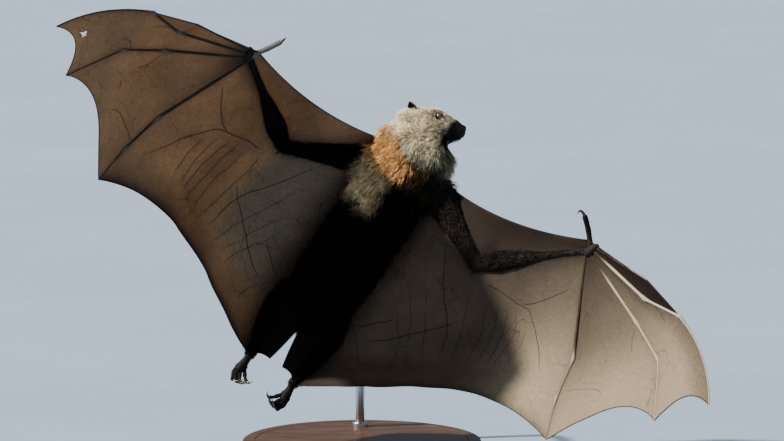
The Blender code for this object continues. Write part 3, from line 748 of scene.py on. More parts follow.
def wingSurfaces(side):  # each panel's surface and free edges
    arm, fingers, bows = skeleton[side]
    sign = sides[side]
    hip, knee, ankle = legJoints(sign)
    lift = (Vector((0, 0, 1)) + direction(side, -10, 40) * 0.35).normalized()
    thumbRoot = fingers[1][0].lerp(fingers[1][1], 0.3)
    second = fingers[2][0]
    besideThumb = second.lerp(fingers[2][1], 0.72)
    spur, notch = mirrored(body["calcar"], sign), Vector(body["notch"])
    innerLine = [arm[0], *(mirrored(point, sign) for point in body["flank"]), hip.lerp(knee, 0.5), knee, ankle]
    lines = {number: (fingers[number], bows[number]) for number in (3, 4, 5)}
    trailing = sagging(ankle, fingers[5][3], arm[1], sag["trailing"], 0.63)
    leading = sagging(Vector((sign * 48 + 5, 16, 2)), thumbRoot, arm[1], sag["leading"])
    tail = ribbon(sagging(notch, spur, hip, sag["tail"]), beside([hip.lerp(knee, 0.3), knee, ankle]))

    def arched(u, v):  # the edge between spur and ankle curves in
        return tail(u, v * (1 - sag["spur"] * 4 * u * (1 - u)))

    return {
        "membrane_1_2": (
            ribbon(beside([second, besideThumb]), sagging(thumbRoot, besideThumb, second, sag["thumb"])), ("far",)
        ),
        "membrane_2_3": (
            ribbon(beside([second, fingers[2][1], fingers[3][2]]), beside(fingers[3][:3]), lift * camber["second"]),
            ("near",),
        ),
        "membrane_3_4": (web(lines[3], lines[4], sag["third"], 0.5, lift * camber["fingers"]), ("end",)),
        "membrane_4_5": (web(lines[4], lines[5], sag["fourth"], 0.44, lift * camber["fingers"]), ("end",)),
        "plagiopatagium": (
            patch(beside(arm), trailing, beside(innerLine), beside(fingers[5]), camber["plagio"], lift), ("end",)
        ),
        "propatagium": (ribbon(leading, beside(arm), lift * camber["fore"]), ("near",)),
        "uropatagium": (arched, ("near", "end")),
    }


def gridOf(surface, rows, columns, ease=0):
    grid = np.array([
        [surface(c / columns, r / rows) for c in range(columns + 1)] for r in range(rows + 1)
    ], float)
    for _ in range(ease):  # eases creases that the straight bones leave in the sheet
        grid[1:-1, 1:-1] = (grid[:-2, 1:-1] + grid[2:, 1:-1] + grid[1:-1, :-2] + grid[1:-1, 2:]) / 4
    return grid


def sheetNormals(grid):
    normal = np.cross(np.gradient(grid, axis=1), np.gradient(grid, axis=0))
    return normal / (np.linalg.norm(normal, axis=2, keepdims=True) + 1e-9)


def rippled(grid, seed, panel):
    rows, columns = grid.shape[:2]
    u, v = shares(grid)
    free = np.sin(np.pi * u) ** 0.5 * np.minimum(v * 6, 1)
    soft = np.array([
        [noise.noise(Vector(grid[r, c]) * 0.022 + Vector((seed, 0, 0))) for c in range(columns)] for r in range(rows)
    ])
    width = np.linalg.norm(grid[rows // 2, -1] - grid[rows // 2, 0])
    waves = np.sin(u * width / wing["foldWidth"] + soft * 2.4 + seed) * smoothStep(v, 0.35, 1.0)
    relief = (soft * wing["ripple"] * 1.6 + waves * wing["folds"] * 0.55) * free
    if panel in ("membrane_1_2", "membrane_2_3", "uropatagium"):
        relief *= wing["calm"]
    return grid + sheetNormals(grid) * relief[:, :, None]


def torn(grid, surface):  # a small old tear: the points that stay, with its edge drawn round the hole
    rows, columns = grid.shape[:2]
    tearU, tearV = wing["tear"]
    middle = np.array(surface(tearU, tearV))
    gap = np.linalg.norm(grid - middle, axis=2)
    turn = np.arctan2(
        np.arange(rows)[:, None] - tearV * (rows - 1), np.arange(columns)[None, :] - tearU * (columns - 1)
    )
    reach = wing["tearReach"] + 0.8 * np.sin(turn * 3 + 1) + 0.5 * np.sin(turn * 5)
    keep = gap > reach
    near = keep & (gap < reach + wing["step"] * 1.1)
    grid[near] = middle + (grid[near] - middle) * ((reach + 0.2) / gap)[near][:, None]
    return keep


def shading(side, panel, grid, wide, deep):  # painted shade and painted sunlight on a sheet's points
    u, v = shares(grid)
    aside = np.abs(grid[:, :, 0] - body["spineX"])
    isWide, isFinger = panel == "plagiopatagium", panel.startswith("membrane")
    darkAndShaded = [0.92 - 0.92 * smoothStep(aside, *wing["shadeNearBody"][side])]
    if isWide or panel == "propatagium":  # painted shade, with fur, beside the arm
        darkAndShaded.append(0.9 * np.exp(-(v * deep if isWide else (1 - u) * wide) / wing["armShade"][side]))
    if isWide or isFinger:  # shaded where it folds onto the bones
        toBone = (1 - u) * wide if isWide else np.minimum(u, 1 - u) * wide
        darkAndShaded.append((0.55 - 0.3 * v) * np.exp(-toBone / wing["boneShade"]))
    if isFinger:
        darkAndShaded.append(0.85 * np.exp(-((v * deep) / wing["wristShade"][side]) ** 1.3))
    if isWide:
        most, fade = wing["endShade"][side]
        darkAndShaded.append(most * np.exp(-((1 - v) * deep) / fade))
    # painted shade, with darker skin near the body and arm
    inner = np.maximum(np.max(darkAndShaded, axis=0), wing["shade"][side].get(panel, 0))
    rising = 0.22 + 0.78 * smoothStep(v, 0.15, 0.95)  # the painted sunlight is strongest at the free edge
    # painted shade beside the third finger: less painted sunlight there
    if panel == "membrane_3_4":
        rising *= 0.45 + 0.55 * smoothStep(u, 0.1, 0.5)
    outer = isWide or panel in ("membrane_4_5", "membrane_3_4")
    pale = smoothStep(aside, *wing["paleFrom"]) * wing["pale"][side] * outer * rising
    if isWide:
        # painted light near the body on the wide sheet
        nearBody = smoothStep(aside, 45, 100) * (1 - smoothStep(aside, 115, 185))
        pale = np.maximum(pale, wing["paintedLightNearBody"][side] * nearBody)
    return inner.ravel(), pale.ravel()


wingGrids = {}


def wingMesh(side):
    parts, rims = [], []
    values = {"spanChord": [], "inner": [], "pale": []}
    surfaces = wingSurfaces(side)
    for index, (panel, (surface, freeEdges)) in enumerate(surfaces.items()):
        probe = gridOf(surface, 10, 10)
        wide = np.linalg.norm(np.diff(probe, axis=1), axis=2).sum(1).max()
        deep = np.linalg.norm(np.diff(probe, axis=0), axis=2).sum(0).max()
        columns, rows = max(8, int(wide / wing["step"])), max(8, int(deep / wing["step"]))
        ease = wing["easeWide" if panel == "plagiopatagium" else "ease"]
        grid = rippled(gridOf(surface, rows, columns, ease), index * 3.7, panel)
        if panel == "plagiopatagium":  # its front and inner edges are tucked into the flesh
            grid[0] = [along(skeleton[side][0], c / columns) for c in range(columns + 1)]
            grid[:, 0, 0] -= sides[side] * wing["tuck"] * np.sin(np.pi * np.linspace(0, 1, rows + 1)) ** 0.7
        faces = quads(rows + 1, columns + 1)
        if side == "right" and panel == "membrane_3_4":
            faces = faces[torn(grid, surface).ravel()[faces].all(1)]
        parts.append((grid.reshape(-1, 3).tolist(), faces.tolist()))
        u, v = (share.ravel() for share in shares(grid))
        spanChord = np.stack([u * wide / 100 + index * 5, v * deep / 100, u * 0 + index], 1)
        for name, numbers in zip(values, (spanChord, *shading(side, panel, grid, wide, deep))):
            values[name] += numbers.tolist()
        wingGrids[side, panel] = grid
        edges = {"near": grid[:, 0], "far": grid[:, -1], "end": grid[-1]}
        for name in freeEdges:
            rim = [Vector(point) for point in edges[name]]
            rims.append(rim[::2] if len(rim) > 30 else rim)
    sheet = makeMesh("wingSheet" + side, *gather(parts))
    for name, numbers in values.items():
        setAttribute(sheet, name, numbers)
    reshaped(sheet, lambda shape: bmesh.ops.delete(
        shape, geom=[v for v in shape.verts if not v.link_faces], context="VERTS"
    ))
    walled(sheet, wing["thick"])
    edging = makeMesh("wingRim" + side, *gather(tube(rim, [wing["rimRadius"]] * len(rim), 6) for rim in rims))
    plainMembrane(edging, 0.5)
    whole = joined([sheet, edging], "wing" + side.capitalize())
    finished(whole, wingMembrane, "membrane", *(f"{panel}_{side}" for panel in surfaces))


def plainMembrane(piece, inner):  # the membrane's attributes on a rim or a vein, with the painted shade that darkens it
    setAttribute(piece, "spanChord", perPoint(piece) * 0)
    setAttribute(piece, "inner", inner)
    setAttribute(piece, "pale", 0)


veins = {  # paths over the wide inner sheet: shares of the way out and back
    "strands": [
        ((0.04, 0.61), (0.09, 0.67), (0.13, 0.75), (0.18, 0.89)),
        ((0.15, 0.45), (0.21, 0.55), (0.27, 0.66), (0.30, 0.82)),
        ((0.17, 0.38), (0.26, 0.52), (0.31, 0.66), (0.35, 0.81)),
        ((0.21, 0.28), (0.29, 0.44), (0.36, 0.60), (0.40, 0.78)),
        ((0.47, 0.12), (0.45, 0.24), (0.46, 0.38), (0.49, 0.56), (0.52, 0.80)),
        ((0.55, 0.24), (0.55, 0.38), (0.57, 0.54), (0.58, 0.70), (0.57, 0.84)),
        ((0.60, 0.26), (0.61, 0.42), (0.62, 0.58), (0.63, 0.82)),
        ((0.65, 0.28), (0.66, 0.45), (0.67, 0.64), (0.66, 0.80)),
        ((0.71, 0.36), (0.71, 0.58), (0.69, 0.78)), ((0.76, 0.44), (0.76, 0.60), (0.74, 0.74)),
    ],
    "long": [
        ((0.19, 0.04), (0.25, 0.16), (0.31, 0.27), (0.39, 0.41), (0.44, 0.58), (0.46, 0.78)),
        ((0.47, 0.12), (0.56, 0.18), (0.68, 0.28), (0.76, 0.35), (0.84, 0.57), (0.92, 0.80)),
        ((0.70, 0.29), (0.79, 0.28), (0.95, 0.18)), ((0.07, 0.64), (0.13, 0.60), (0.20, 0.53)),
        ((0.46, 0.39), (0.38, 0.48), (0.30, 0.58), (0.22, 0.66), (0.11, 0.71)),
    ],
    "strandRadius": 0.46, "longRadius": 0.56, "wander": 0.006, "steps": 14,
    # painted shade on the veins, deeper on the left wing
    "inner": {"right": 0.75, "left": 1.0}, "seed": {"right": 0, "left": 40},
}
fingerVeins = {  # on the sheets between the fingers
    "membrane_4_5": [
        ((0.98, 0.60), (0.80, 0.66), (0.62, 0.74), (0.52, 0.84)), ((0.04, 0.34), (0.16, 0.44), (0.22, 0.56))
    ],
    "membrane_3_4": [((0.96, 0.62), (0.80, 0.66), (0.66, 0.74)), ((0.03, 0.40), (0.14, 0.50), (0.30, 0.58))],
}


def onGrid(grid, u, v):
    rows, columns = grid.shape[0] - 1, grid.shape[1] - 1
    x, y = min(max(u, 0), 0.9999) * columns, min(max(v, 0), 0.9999) * rows
    c, r = int(x), int(y)
    near = grid[r, c] * (1 - x + c) + grid[r, c + 1] * (x - c)
    far = grid[r + 1, c] * (1 - x + c) + grid[r + 1, c + 1] * (x - c)
    return Vector(near * (1 - y + r) + far * (y - r))


def flowing(points, steps):  # a smooth line through control points
    padded = [points[0], *points, points[-1]]
    line = [
        0.5 * (2 * b + (c - a) * t + (2 * a - 5 * b + 4 * c - d) * t * t + (3 * b - a - 3 * c + d) * t ** 3)
        for a, b, c, d in zip(padded, padded[1:], padded[2:], padded[3:]) for t in (n / steps for n in range(steps))
    ]
    return np.array([*line, points[-1]])


def veinMesh(side):
    parts = []
    wanted = [("plagiopatagium", path, veins["strandRadius"]) for path in veins["strands"]]
    wanted += [("plagiopatagium", path, veins["longRadius"]) for path in veins["long"]]
    wanted += [(panel, path, veins["strandRadius"]) for panel, paths in fingerVeins.items() for path in paths]
    for k, (panel, path, radius) in enumerate(wanted):
        seed = k * 5.3 + veins["seed"][side]
        steps = flowing([np.array(point) for point in path], veins["steps"])
        for n in range(len(steps)):
            steps[n] += np.array(noise.noise_vector(Vector((n * 0.16, seed, 0))))[:2] * veins["wander"]
        thin = [min(1, 0.35 + 4 * min(n, len(steps) - 1 - n) / len(steps)) for n in range(len(steps))]
        centres = [onGrid(wingGrids[side, panel], u, v) for u, v in steps]
        parts.append(tube(centres, [radius * share for share in thin], 6))
    piece = makeMesh("wingVeins" + side.capitalize(), *gather(parts))
    outward(piece)
    plainMembrane(piece, veins["inner"][side])
    finished(piece, wingMembrane, "membrane")


fingerLook = {
    "knuckle": {2: 2.3, 3: 2.9, 4: 2.7, 5: 2.9}, "shaft": {2: 1.4, 3: 1.6, 4: 1.5, 5: 1.7}, "shrink": 0.16,
    "pale": {2: 0.3, 3: 0.85, 4: 0.75, 5: 0.3}, "paleFrom": {2: 20, 3: 14, 4: 22, 5: 95}, "paleOver": 35,
    # lit: painted sunlight for each side; the knuckles are paler, with painted highlights strong on the left
    "lit": {"right": 0, "left": 1}, "joint": {"right": 0.25, "left": 0.85},
    "tip": 0.8, "bulge": 6.5, "samples": 34, "sides": 12, "slimTo": 45,
}


def fingerMesh(side):
    look, parts, joints, lit = fingerLook, [], [], []
    for number in (2, 3, 4, 5):
        points, bow = skeleton[side][1][number], skeleton[side][2][number]
        last = len(points) - 2
        path, radii, swelling, light = [], [], [], []
        for k in range(last + 1):
            length = (points[k + 1] - points[k]).length
            knuckle, shaft = (look[name][number] * (1 - look["shrink"] * k) for name in ("knuckle", "shaft"))
            for n in range(look["samples"] + (k == last)):
                share = n / look["samples"]
                swell = max(bell(share * length, look["bulge"]), bell((1 - share) * length, look["bulge"]) * (k < last))
                bare = shaft if k < last else max(knuckle * (1 - 0.9 * share ** 0.4), look["tip"])
                path.append(onFinger(points, bow, k + share))
                away = (path[-1] - points[0]).length  # slimmer near the wrist, where no painted sunlight falls
                radii.append((bare + (knuckle - bare) * swell) * (0.72 + 0.28 * smoothStep(away, 8, look["slimTo"])))
                start = look["paleFrom"][number]
                light.append(look["pale"][number] * smoothStep(away, start, start + look["paleOver"]))
                swelling.append(swell * (0 if k == 0 and share < 0.5 else 1))
        parts.append(tube(path, radii, look["sides"]))
        joints += perRing(swelling, look["sides"])
        lit += perRing(light, look["sides"])
    covered = [f"finger_{number}_{side}" for number in (2, 3, 4, 5)]
    joints, pale = np.array(joints) * look["joint"][side], np.array(lit) * look["lit"][side]
    name = "fingers" + side.capitalize()
    built(name, gather(parts), fingerSkin, "skin_black", *covered, joint=joints, pale=pale)


thumbLook = {
    # rim: painted sunlight on the right thumb
    "radii": (4.6, 4.0, 3.1, 2.8, 3.3, 2.9, 3.2, 2.9), "steps": 30, "bow": 3, "rim": {"right": 0.3, "left": 0.0},
    "hook": {"right": (-0.3, 0.7, -0.5), "left": (0.5, -0.2, -0.85)}, "turn": {"right": 95, "left": 145},
    "claw": {"right": 15, "left": 23}, "clawRadius": 2.5, "clawSteps": 16, "clawFlat": 0.75,
}


def smoothRadii(radii, count):
    fine = np.interp(np.linspace(0, 1, count), np.linspace(0, 1, len(radii)), radii)
    padded = np.concatenate([[fine[0]] * 2, fine, [fine[-1]] * 2])
    return np.convolve(padded, np.ones(5) / 5, "valid").tolist()


def thinning(radius, steps, share, power):  # a claw's radii
    return [radius * (1 - share * (k / steps) ** power) for k in range(steps + 1)]


def thumbMesh(side):
    look = thumbLook
    start, end = skeleton[side][1][1]
    run, hook = end - start, Vector(look["hook"][side])
    ahead = run.normalized()
    hook = (hook - run * hook.dot(run) / run.length_squared).normalized()
    bowed = [n / look["steps"] for n in range(look["steps"] + 1)]
    path = [start.lerp(end, share) - hook * (look["bow"] * math.sin(math.pi * share)) for share in bowed]
    digit = tube(path, smoothRadii(look["radii"], len(path)), 16)
    built("thumb" + side.capitalize(), digit, blackSkin, "skin_black", f"thumb_{side}", rim=look["rim"][side])
    reach, steps = look["claw"][side] / math.radians(look["turn"][side]), look["clawSteps"]
    angles = [math.radians(look["turn"][side] * k / steps) for k in range(steps + 1)]
    base = end - ahead * look["clawRadius"]
    line = [base + ahead * reach * math.sin(angle) + hook * reach * (1 - math.cos(angle)) for angle in angles]
    radii = thinning(look["clawRadius"], steps, 0.92, 1.3)
    claw = tube(line, radii, 14, look["clawFlat"], up=hook.cross(run).normalized())
    built("thumbClaw" + side.capitalize(), claw, hornClaw, "claw", f"thumb_claw_{side}")


for side in sides:
    for build in (wingMesh, veinMesh, fingerMesh, thumbMesh):
        build(side)
print("wings made")

# Body skin: one mesh over all the flesh, inside the coat.
coat = {  # per solid: depth of coat, hair length and hair width at its start and end, hairs for each square mm
    "head": {"depth": (0.6, 6.2), "length": (1.4, 15.0), "width": (0.22, 0.55), "dense": 2.6},
    "nose": {"depth": (0.1, 0.1), "length": (1.0, 1.0), "width": (0.3, 0.3), "dense": 0.0},
    "neck": {"depth": (8.5, 9.5), "length": (18, 22), "width": (0.75, 0.85), "dense": 1.5},
    "trunk": {"depth": (8.5, 6.5), "length": (18, 14), "width": (0.9, 0.85), "dense": 0.70},
    "upper_arm": {"depth": (5.0, 2.6), "length": (13, 8), "width": (0.8, 0.65), "dense": 0.72},
    "forearm": {"depth": (2.4, 0.5), "length": (8, 3.0), "width": (0.6, 0.42), "dense": 0.85},
    "hand": {"depth": (0.4, 0.2), "length": (2.0, 1.5), "width": (0.35, 0.3), "dense": 0.15},
    "thigh": {"depth": (6.5, 6.0), "length": (14, 12), "width": (0.85, 0.8), "dense": 0.75},
    "shin": {"depth": (5.8, 2.0), "length": (12, 5.5), "width": (0.8, 0.5), "dense": 0.85},
}
skinLook = {
    "voxel": 1.7, "grow": 0.45, "ease": 9, "blend": 22, "headEase": 3, "faceEase": 5, "divided": 0.35,
    "slim": ((0, 0.25, 0.45, 0.6, 0.8, 1), (0, 0, 1.8, 3.0, 1.9, 0.2)),  # the forearm thins past its muscle
}

headAt = Vector(headPose["at"])
hairLines = {  # the line that each solid's hair follows, in the bat's frame
    "head": (headAt + headForward * 42, headAt - headForward * 24),
    "nose": (headAt + headForward * 48, headAt + headForward * 40),
    "neck": (Vector((12, 62, 0)), Vector((7, 14, 0))), "trunk": (Vector((4, 20, 0)), Vector((4, -214, 0))),
}
for side, sign in sides.items():
    shoulder, elbow, wrist = skeleton[side][0]
    hip, knee, ankle = legJoints(sign)
    limbs = {
        "upper_arm": (shoulder, elbow), "forearm": (elbow, wrist), "hand": (wrist, wrist + (wrist - elbow) * 0.1),
        "thigh": (hip, knee), "shin": (knee, ankle),
    }
    hairLines.update({f"{name}_{side}": line for name, line in limbs.items()})
fleshSolids = list(hairLines)
kinds = np.array([name.removesuffix("_right").removesuffix("_left") for name in fleshSolids])
lineStart = np.array([start for start, _ in hairLines.values()])
lineRun = np.array([end - start for start, end in hairLines.values()])

treePoints, treeFaces, faceSolid, copies = [], [], [], []
for index, name in enumerate(fleshSolids):
    source = cadNodes[name].data
    start = len(treePoints)
    treePoints += [tuple(v.co) for v in source.vertices]
    treeFaces += [[i + start for i in face.vertices] for face in source.polygons]
    faceSolid += [index] * len(source.polygons)
    shape = bmesh.new()
    shape.from_mesh(source)
    bmesh.ops.remove_doubles(shape, verts=shape.verts, dist=1e-6)
    shape.normal_update()
    for vertex in shape.verts:
        vertex.co += vertex.normal * skinLook["grow"] * mm
    mesh = bpy.data.meshes.new("part")
    shape.to_mesh(mesh)
    shape.free()
    copies.append(linked("part", mesh))
solidTree = BVHTree.FromPolygons(treePoints, treeFaces)
faceSolid = np.array(faceSolid)
skin = joined(copies, "bodySkin")
only(skin)
fusing = skin.modifiers.new("fuse", "REMESH")
fusing.mode, fusing.voxel_size, fusing.adaptivity = "VOXEL", skinLook["voxel"] * mm, 0.0
easing = skin.modifiers.new("ease", "SMOOTH")
easing.factor, easing.iterations = 0.5, skinLook["headEase"]
applyAll(skin)
print("flesh fused:", len(skin.data.vertices), "points")


def neighbours(piece):
    pairs = np.zeros(len(piece.data.edges) * 2, int)
    piece.data.edges.foreach_get("vertices", pairs)
    return pairs.reshape(-1, 2)


def evened(values, pairs, rounds):  # evens per-point values over the mesh
    values = np.array(values, float)
    count = len(values)
    flat = values.reshape(count, -1)
    degree = np.maximum(np.bincount(pairs.ravel(), minlength=count), 1.0)
    for _ in range(rounds):
        total = np.stack([
            np.bincount(pairs[:, 0], column[pairs[:, 1]], count) + np.bincount(pairs[:, 1], column[pairs[:, 0]], count)
            for column in flat.T
        ], 1)
        flat = flat * 0.35 + total / degree[:, None] * 0.65
    return flat.reshape(values.shape)


def nearestSolids(points):
    return faceSolid[[solidTree.find_nearest(Vector(point))[2] for point in points]]


def coatFields(points, solids):  # depth, length, width and lie of the coat from the nearest solid
    own, run = into(points, batInverse), lineRun[solids]
    share = np.clip(((own - lineStart[solids]) * run).sum(1) / (run * run).sum(1), 0, 1)
    ends = np.array([[coat[kind][name] for name in ("depth", "length", "width")] for kind in kinds], float)[solids]
    return ends[:, :, 0] * (1 - share)[:, None] + ends[:, :, 1] * share[:, None], unitRows(run), own


points, pairs = perPoint(skin), neighbours(skin)
solids = nearestSolids(points)
field, _, own = coatFields(points, solids)
headShare = evened(np.isin(kinds[solids], ("head", "nose")), pairs, 6)
slim = np.zeros(len(points))
for side in sides:
    index = fleshSolids.index(f"forearm_{side}")
    share = ((own - lineStart[index]) @ lineRun[index]) / (lineRun[index] @ lineRun[index])
    slim = np.where(solids == index, np.interp(share, *skinLook["slim"]), slim)
inset = evened(field, pairs, skinLook["blend"])[:, 0] + skinLook["grow"] + evened(slim, pairs, 8)
points = points - unitRows(evened(perPoint(skin, "normal"), pairs, 3)) * (inset * mm)[:, None]
eased = evened(points, pairs, skinLook["ease"])
setPoints(skin, points * headShare[:, None] + eased * (1 - headShare[:, None]))

# The face: the head is divided finely, then lids, nostrils, lips and brows are pressed into it.
face = {
    "eye": (10.3, 16.8, 5.1), "eyeRadius": 5.2, "gaze": (0.93, 0.30, 0.24), "lid": 0.8, "open": (42, 29), "sunk": 1.2,
    "nostril": (2.5, 46.6, -0.6), "nostrilRadius": 1.5, "nostrilDepth": 1.6,
    "brow": ((9.5, 18, 12.5), (4, 6, 3)), "cheek": ((11, 8, -9), (6, 8, 6)), "browRise": 0.9, "cornea": 0.45,
    "mouthCorner": (22.0, -10.3), "mouthFront": (46.0, -8.4), "mouthBow": 0.54, "groove": (0.975, 0.55), "lip": 0.35,
    "lipGap": 1.5, "chin": 2.2, "snout": (0.5, 1.0), "cleft": 0.5, "nostrilRing": 0.45, "padFrom": (42.0, 44.5),
}


def divideHead(shape):
    shape.verts.ensure_lookup_table()
    wanted = set(np.nonzero(headShare > skinLook["divided"])[0].tolist())
    edges = [edge for edge in shape.edges if all(v.index in wanted for v in edge.verts)]
    bmesh.ops.subdivide_edges(shape, edges=edges, cuts=1, use_grid_fill=True, smooth=0.0)
    bmesh.ops.triangulate(shape, faces=[f for f in shape.faces if len(f.verts) > 4])


reshaped(skin, divideHead)
points, pairs = perPoint(skin), neighbours(skin)
nearHead = (np.abs(into(points, headInverse) - (0, 20, -2)) < (28, 40, 32)).all(1)
points[nearHead] = evened(points, pairs, skinLook["faceEase"])[nearHead]
setPoints(skin, points)


def mirrorX(values, sign):
    return np.array(values) * (sign, 1, 1)


def mound(local, centre, widths):
    return np.exp(-(((local - centre) / widths) ** 2).sum(1))


def sculptFace(points, normals):  # x, y and z follow each change of local
    local, outwards = into(points, headInverse), normals @ np.array(headInverse, float)[:3, :3].T
    x, y, z = local.T
    near = (y > -20) & (y < 60) & (np.abs(x) < 30) & (np.abs(z) < 34)
    folded = np.stack([np.abs(x), y, z], 1)
    forms = mound(folded, *face["brow"]) * face["browRise"] + mound(folded, *face["cheek"])
    forms -= mound(local[:, :2], (0, 26), (5, 7)) * (z > 0)  # a dip between the eyes
    local += outwards * (forms * near)[:, None]
    # mouth: a narrow groove with a soft lip above and below
    corner, front = face["mouthCorner"], face["mouthFront"]
    share = np.clip((y - corner[0]) / (front[0] - corner[0]), -0.2, 1.1)
    level = corner[1] + (front[1] - corner[1]) * share - face["mouthBow"] * np.sin(np.clip(share, 0, 1) * np.pi)
    off = z - level
    inMouth = smoothStep(y, corner[0] - 2, corner[0] + 1.5)
    lips = (bell(off - face["lipGap"], 1.0) + 0.8 * bell(off + face["lipGap"], 1.0)) * face["lip"]
    deep, wide = face["groove"]
    local += outwards * ((lips - bell(off, wide) * deep) * inMouth * near)[:, None]
    bare = bell(off, 1.1) * inMouth
    chin = bell(y - 43, 5.5) * smoothStep(-z, 0.5, 5) * near
    snout = bell(y - 45, 3.0) * bell(z - 1.2, 2.4) * near
    local[:, 1] += chin * face["chin"] + snout * face["snout"][0]
    local[:, 2] += snout * face["snout"][1]
    # nostrils and the cleft between them
    radius = face["nostrilRadius"]
    for sign in (1, -1):
        gap = np.linalg.norm((local - mirrorX(face["nostril"], sign)) * (1.0, 1.0, 1.25), axis=1)
        pit = 1 - smoothStep(gap, radius * 0.45, radius * 1.15)
        local += outwards * (bell(gap - radius * 1.5, 0.7) * face["nostrilRing"] * near)[:, None]
        local -= mirrorX((-0.35, 1, 0), sign) * (pit * face["nostrilDepth"] * near)[:, None]
    cleft = bell(x, 0.5) * (y > 43) * (z > level + 0.4) * (z < 2.5)
    local -= outwards * (cleft * face["cleft"])[:, None]
    wet = smoothStep(y, *face["padFrom"])
    bare = np.maximum(bare, wet)
    # lids: the skin wraps the eyeball and opens on an almond round the gaze
    lidRadius = face["eyeRadius"] + face["lid"]
    for sign in (1, -1):
        centre, gaze = mirrorX(face["eye"], sign), unitRows(mirrorX(face["gaze"], sign))
        ahead = unitRows(np.array((0.0, 1, 0)) - gaze * gaze[1])
        above = np.cross(gaze, ahead)
        above *= 1 if above[2] > 0 else -1
        gap = np.linalg.norm(local - centre, axis=1)
        unit = (local - centre) / gap[:, None]
        facing = unit @ gaze
        angles = [np.degrees(np.arctan2(unit @ axis, facing)) for axis in (ahead, above)]
        inside = np.hypot(angles[0] / face["open"][0], angles[1] / face["open"][1])
        inside[facing < 0] = 9
        around = near & (gap < lidRadius + 5) & (inside < 2.7)
        opening = around & (inside < 1.0)
        wanted = lidRadius - 0.55 * (1 - smoothStep(inside, 1.0, 1.28)) + 0.3 * bell(inside - 1.4, 0.15)
        blend = (1 - smoothStep(inside, 1.35, 2.6)) * (1 - smoothStep(np.abs(gap - lidRadius), 2.5, 5.0))
        moved = centre + unit * (gap * (1 - blend) + wanted * blend)[:, None]
        local[around] = moved[around]
        local[opening] = (centre + unit * (face["eyeRadius"] - face["sunk"]))[opening]
        bare = np.maximum(bare, np.where(around, np.maximum(bell(inside - 1.12, 0.22), inside < 1), 0))
        wet = np.maximum(wet, np.where(around & (inside < 1.15), 0.8, 0))
        fold = bell(inside - 1.85, 0.2) * around * (unit @ above > 0)
        local -= unit * (fold * 0.4)[:, None]
    return outOf(local, headPlace), wet * near, bare * near


points, wet, bare = sculptFace(points, perPoint(skin, "normal"))
setPoints(skin, points)

fuller = (  # where the coat stands out more: from the chin down the throat's left side, and the left shoulder
    {"from": (-14, 54, -2), "to": (-27, 29, 0), "reach": 14, "depth": (13.0, 1.5), "length": (9, 2), "grey": 0.32},
    {"from": (-40, 20, -2), "to": (-52, 12, -2), "reach": 11, "depth": (2.2, 2.2), "length": (2, 2), "grey": 0},
)


def nearLine(points, start, end):  # how far along a line each point lies, and how far from it
    start, run = np.array(start, float), np.array(end, float) - np.array(start, float)
    share = np.clip((points - start) @ run / (run @ run), 0, 1)
    return share, np.linalg.norm(points - start - share[:, None] * run, axis=1)


marks = {  # where each colour of the coat lies, in the bat's frame and, for the dark muzzle, in the head's
    "ragged": ((0.10, 0.5, (0, 0, 0)), (0.27, 0.35, (9, 2, 5))), "belly": (-0.15, 0.25), "neckFrom": -6,
    "collarEdge": ([-15, 2, 14, 35, 45], [12, -1, 4, 22, 30]),  # where the orange gives way to painted shade, under the neck towards the bat's left
    "throatFrom": 29, "cheekFrom": 12, "shoulders": (50, 66), "dorsal": (0.10, 0.24), "dorsalFade": (-150, -40),
    # the pale flank ends at this line; beyond it, painted shade
    "flankShadeLine": ([-70, -62, -51, -40, -17], [20, 26, 37, 44, 52]), "flankFrom": -48,
    "muzzleDarkAndShade": (35.0, 1.75, 3.7), "lidShade": 0.06, "lidFade": (6.0, 8.0),
}
solids, count = nearestSolids(points), len(points)
field, lie, own = coatFields(points, solids)
field, lie, kind = evened(field, pairs, 30), evened(lie, pairs, 30), kinds[solids]
for place in fuller:
    share, away = nearLine(own, place["from"], place["to"])
    close = bell(away, place["reach"]) * np.where(kind == "head", 0.45, 1)  # less on the head itself
    for column, name in enumerate(("depth", "length")):
        field[:, column] += np.interp(share, (0, 1), place[name]) * close
ragged = np.array([
    sum(noise.noise(Vector(p) * scale + Vector(moved)) * size for scale, size, moved in marks["ragged"]) for p in own
])
onHead = into(points, headInverse)
zones = {
    "grey": evened(np.isin(kind, ("head", "nose")), pairs, 22), "collar": np.zeros(count), "flank": np.zeros(count)
}
facingDown = perPoint(skin, "normal") @ np.array(batInverse, float)[2, :3] * -1
ventral = evened(smoothStep(facingDown, *marks["belly"]), pairs, 4)
aside, ahead, _ = own.T
rightOf = smoothStep(aside - np.interp(ahead, *marks["collarEdge"]) + ragged * 12, -4, 4)
# the grey throat only towards the bat's right; on its left, painted shade
throat = smoothStep(ahead - marks["throatFrom"] + ragged * 18, -5, 5) * smoothStep(aside + 15, -6, 5)
throat *= ventral * (1 - rightOf)
zones["grey"] = np.maximum(smoothStep(zones["grey"] + ragged * 0.5, 0.35, 0.65), throat * 0.8)
# painted shade: the grey fades under the bat's left cheek
cheekShade = smoothStep(-aside - marks["cheekFrom"], -6, 5) * (1 - smoothStep(ahead, 50, 60))
zones["grey"] *= 1 - 0.9 * ventral * cheekShade
for place in fuller:
    away = nearLine(own, place["from"], place["to"])[1]
    zones["grey"] = np.maximum(zones["grey"], place["grey"] * smoothStep(place["reach"] - away + ragged * 10, -3, 5))
onNeck = smoothStep(ahead - marks["neckFrom"] + ragged * 24, -5, 7) * np.isin(kind, ("neck", "trunk", "head"))
onNeck *= 1 - 0.75 * smoothStep(np.abs(aside - 6), *marks["shoulders"])
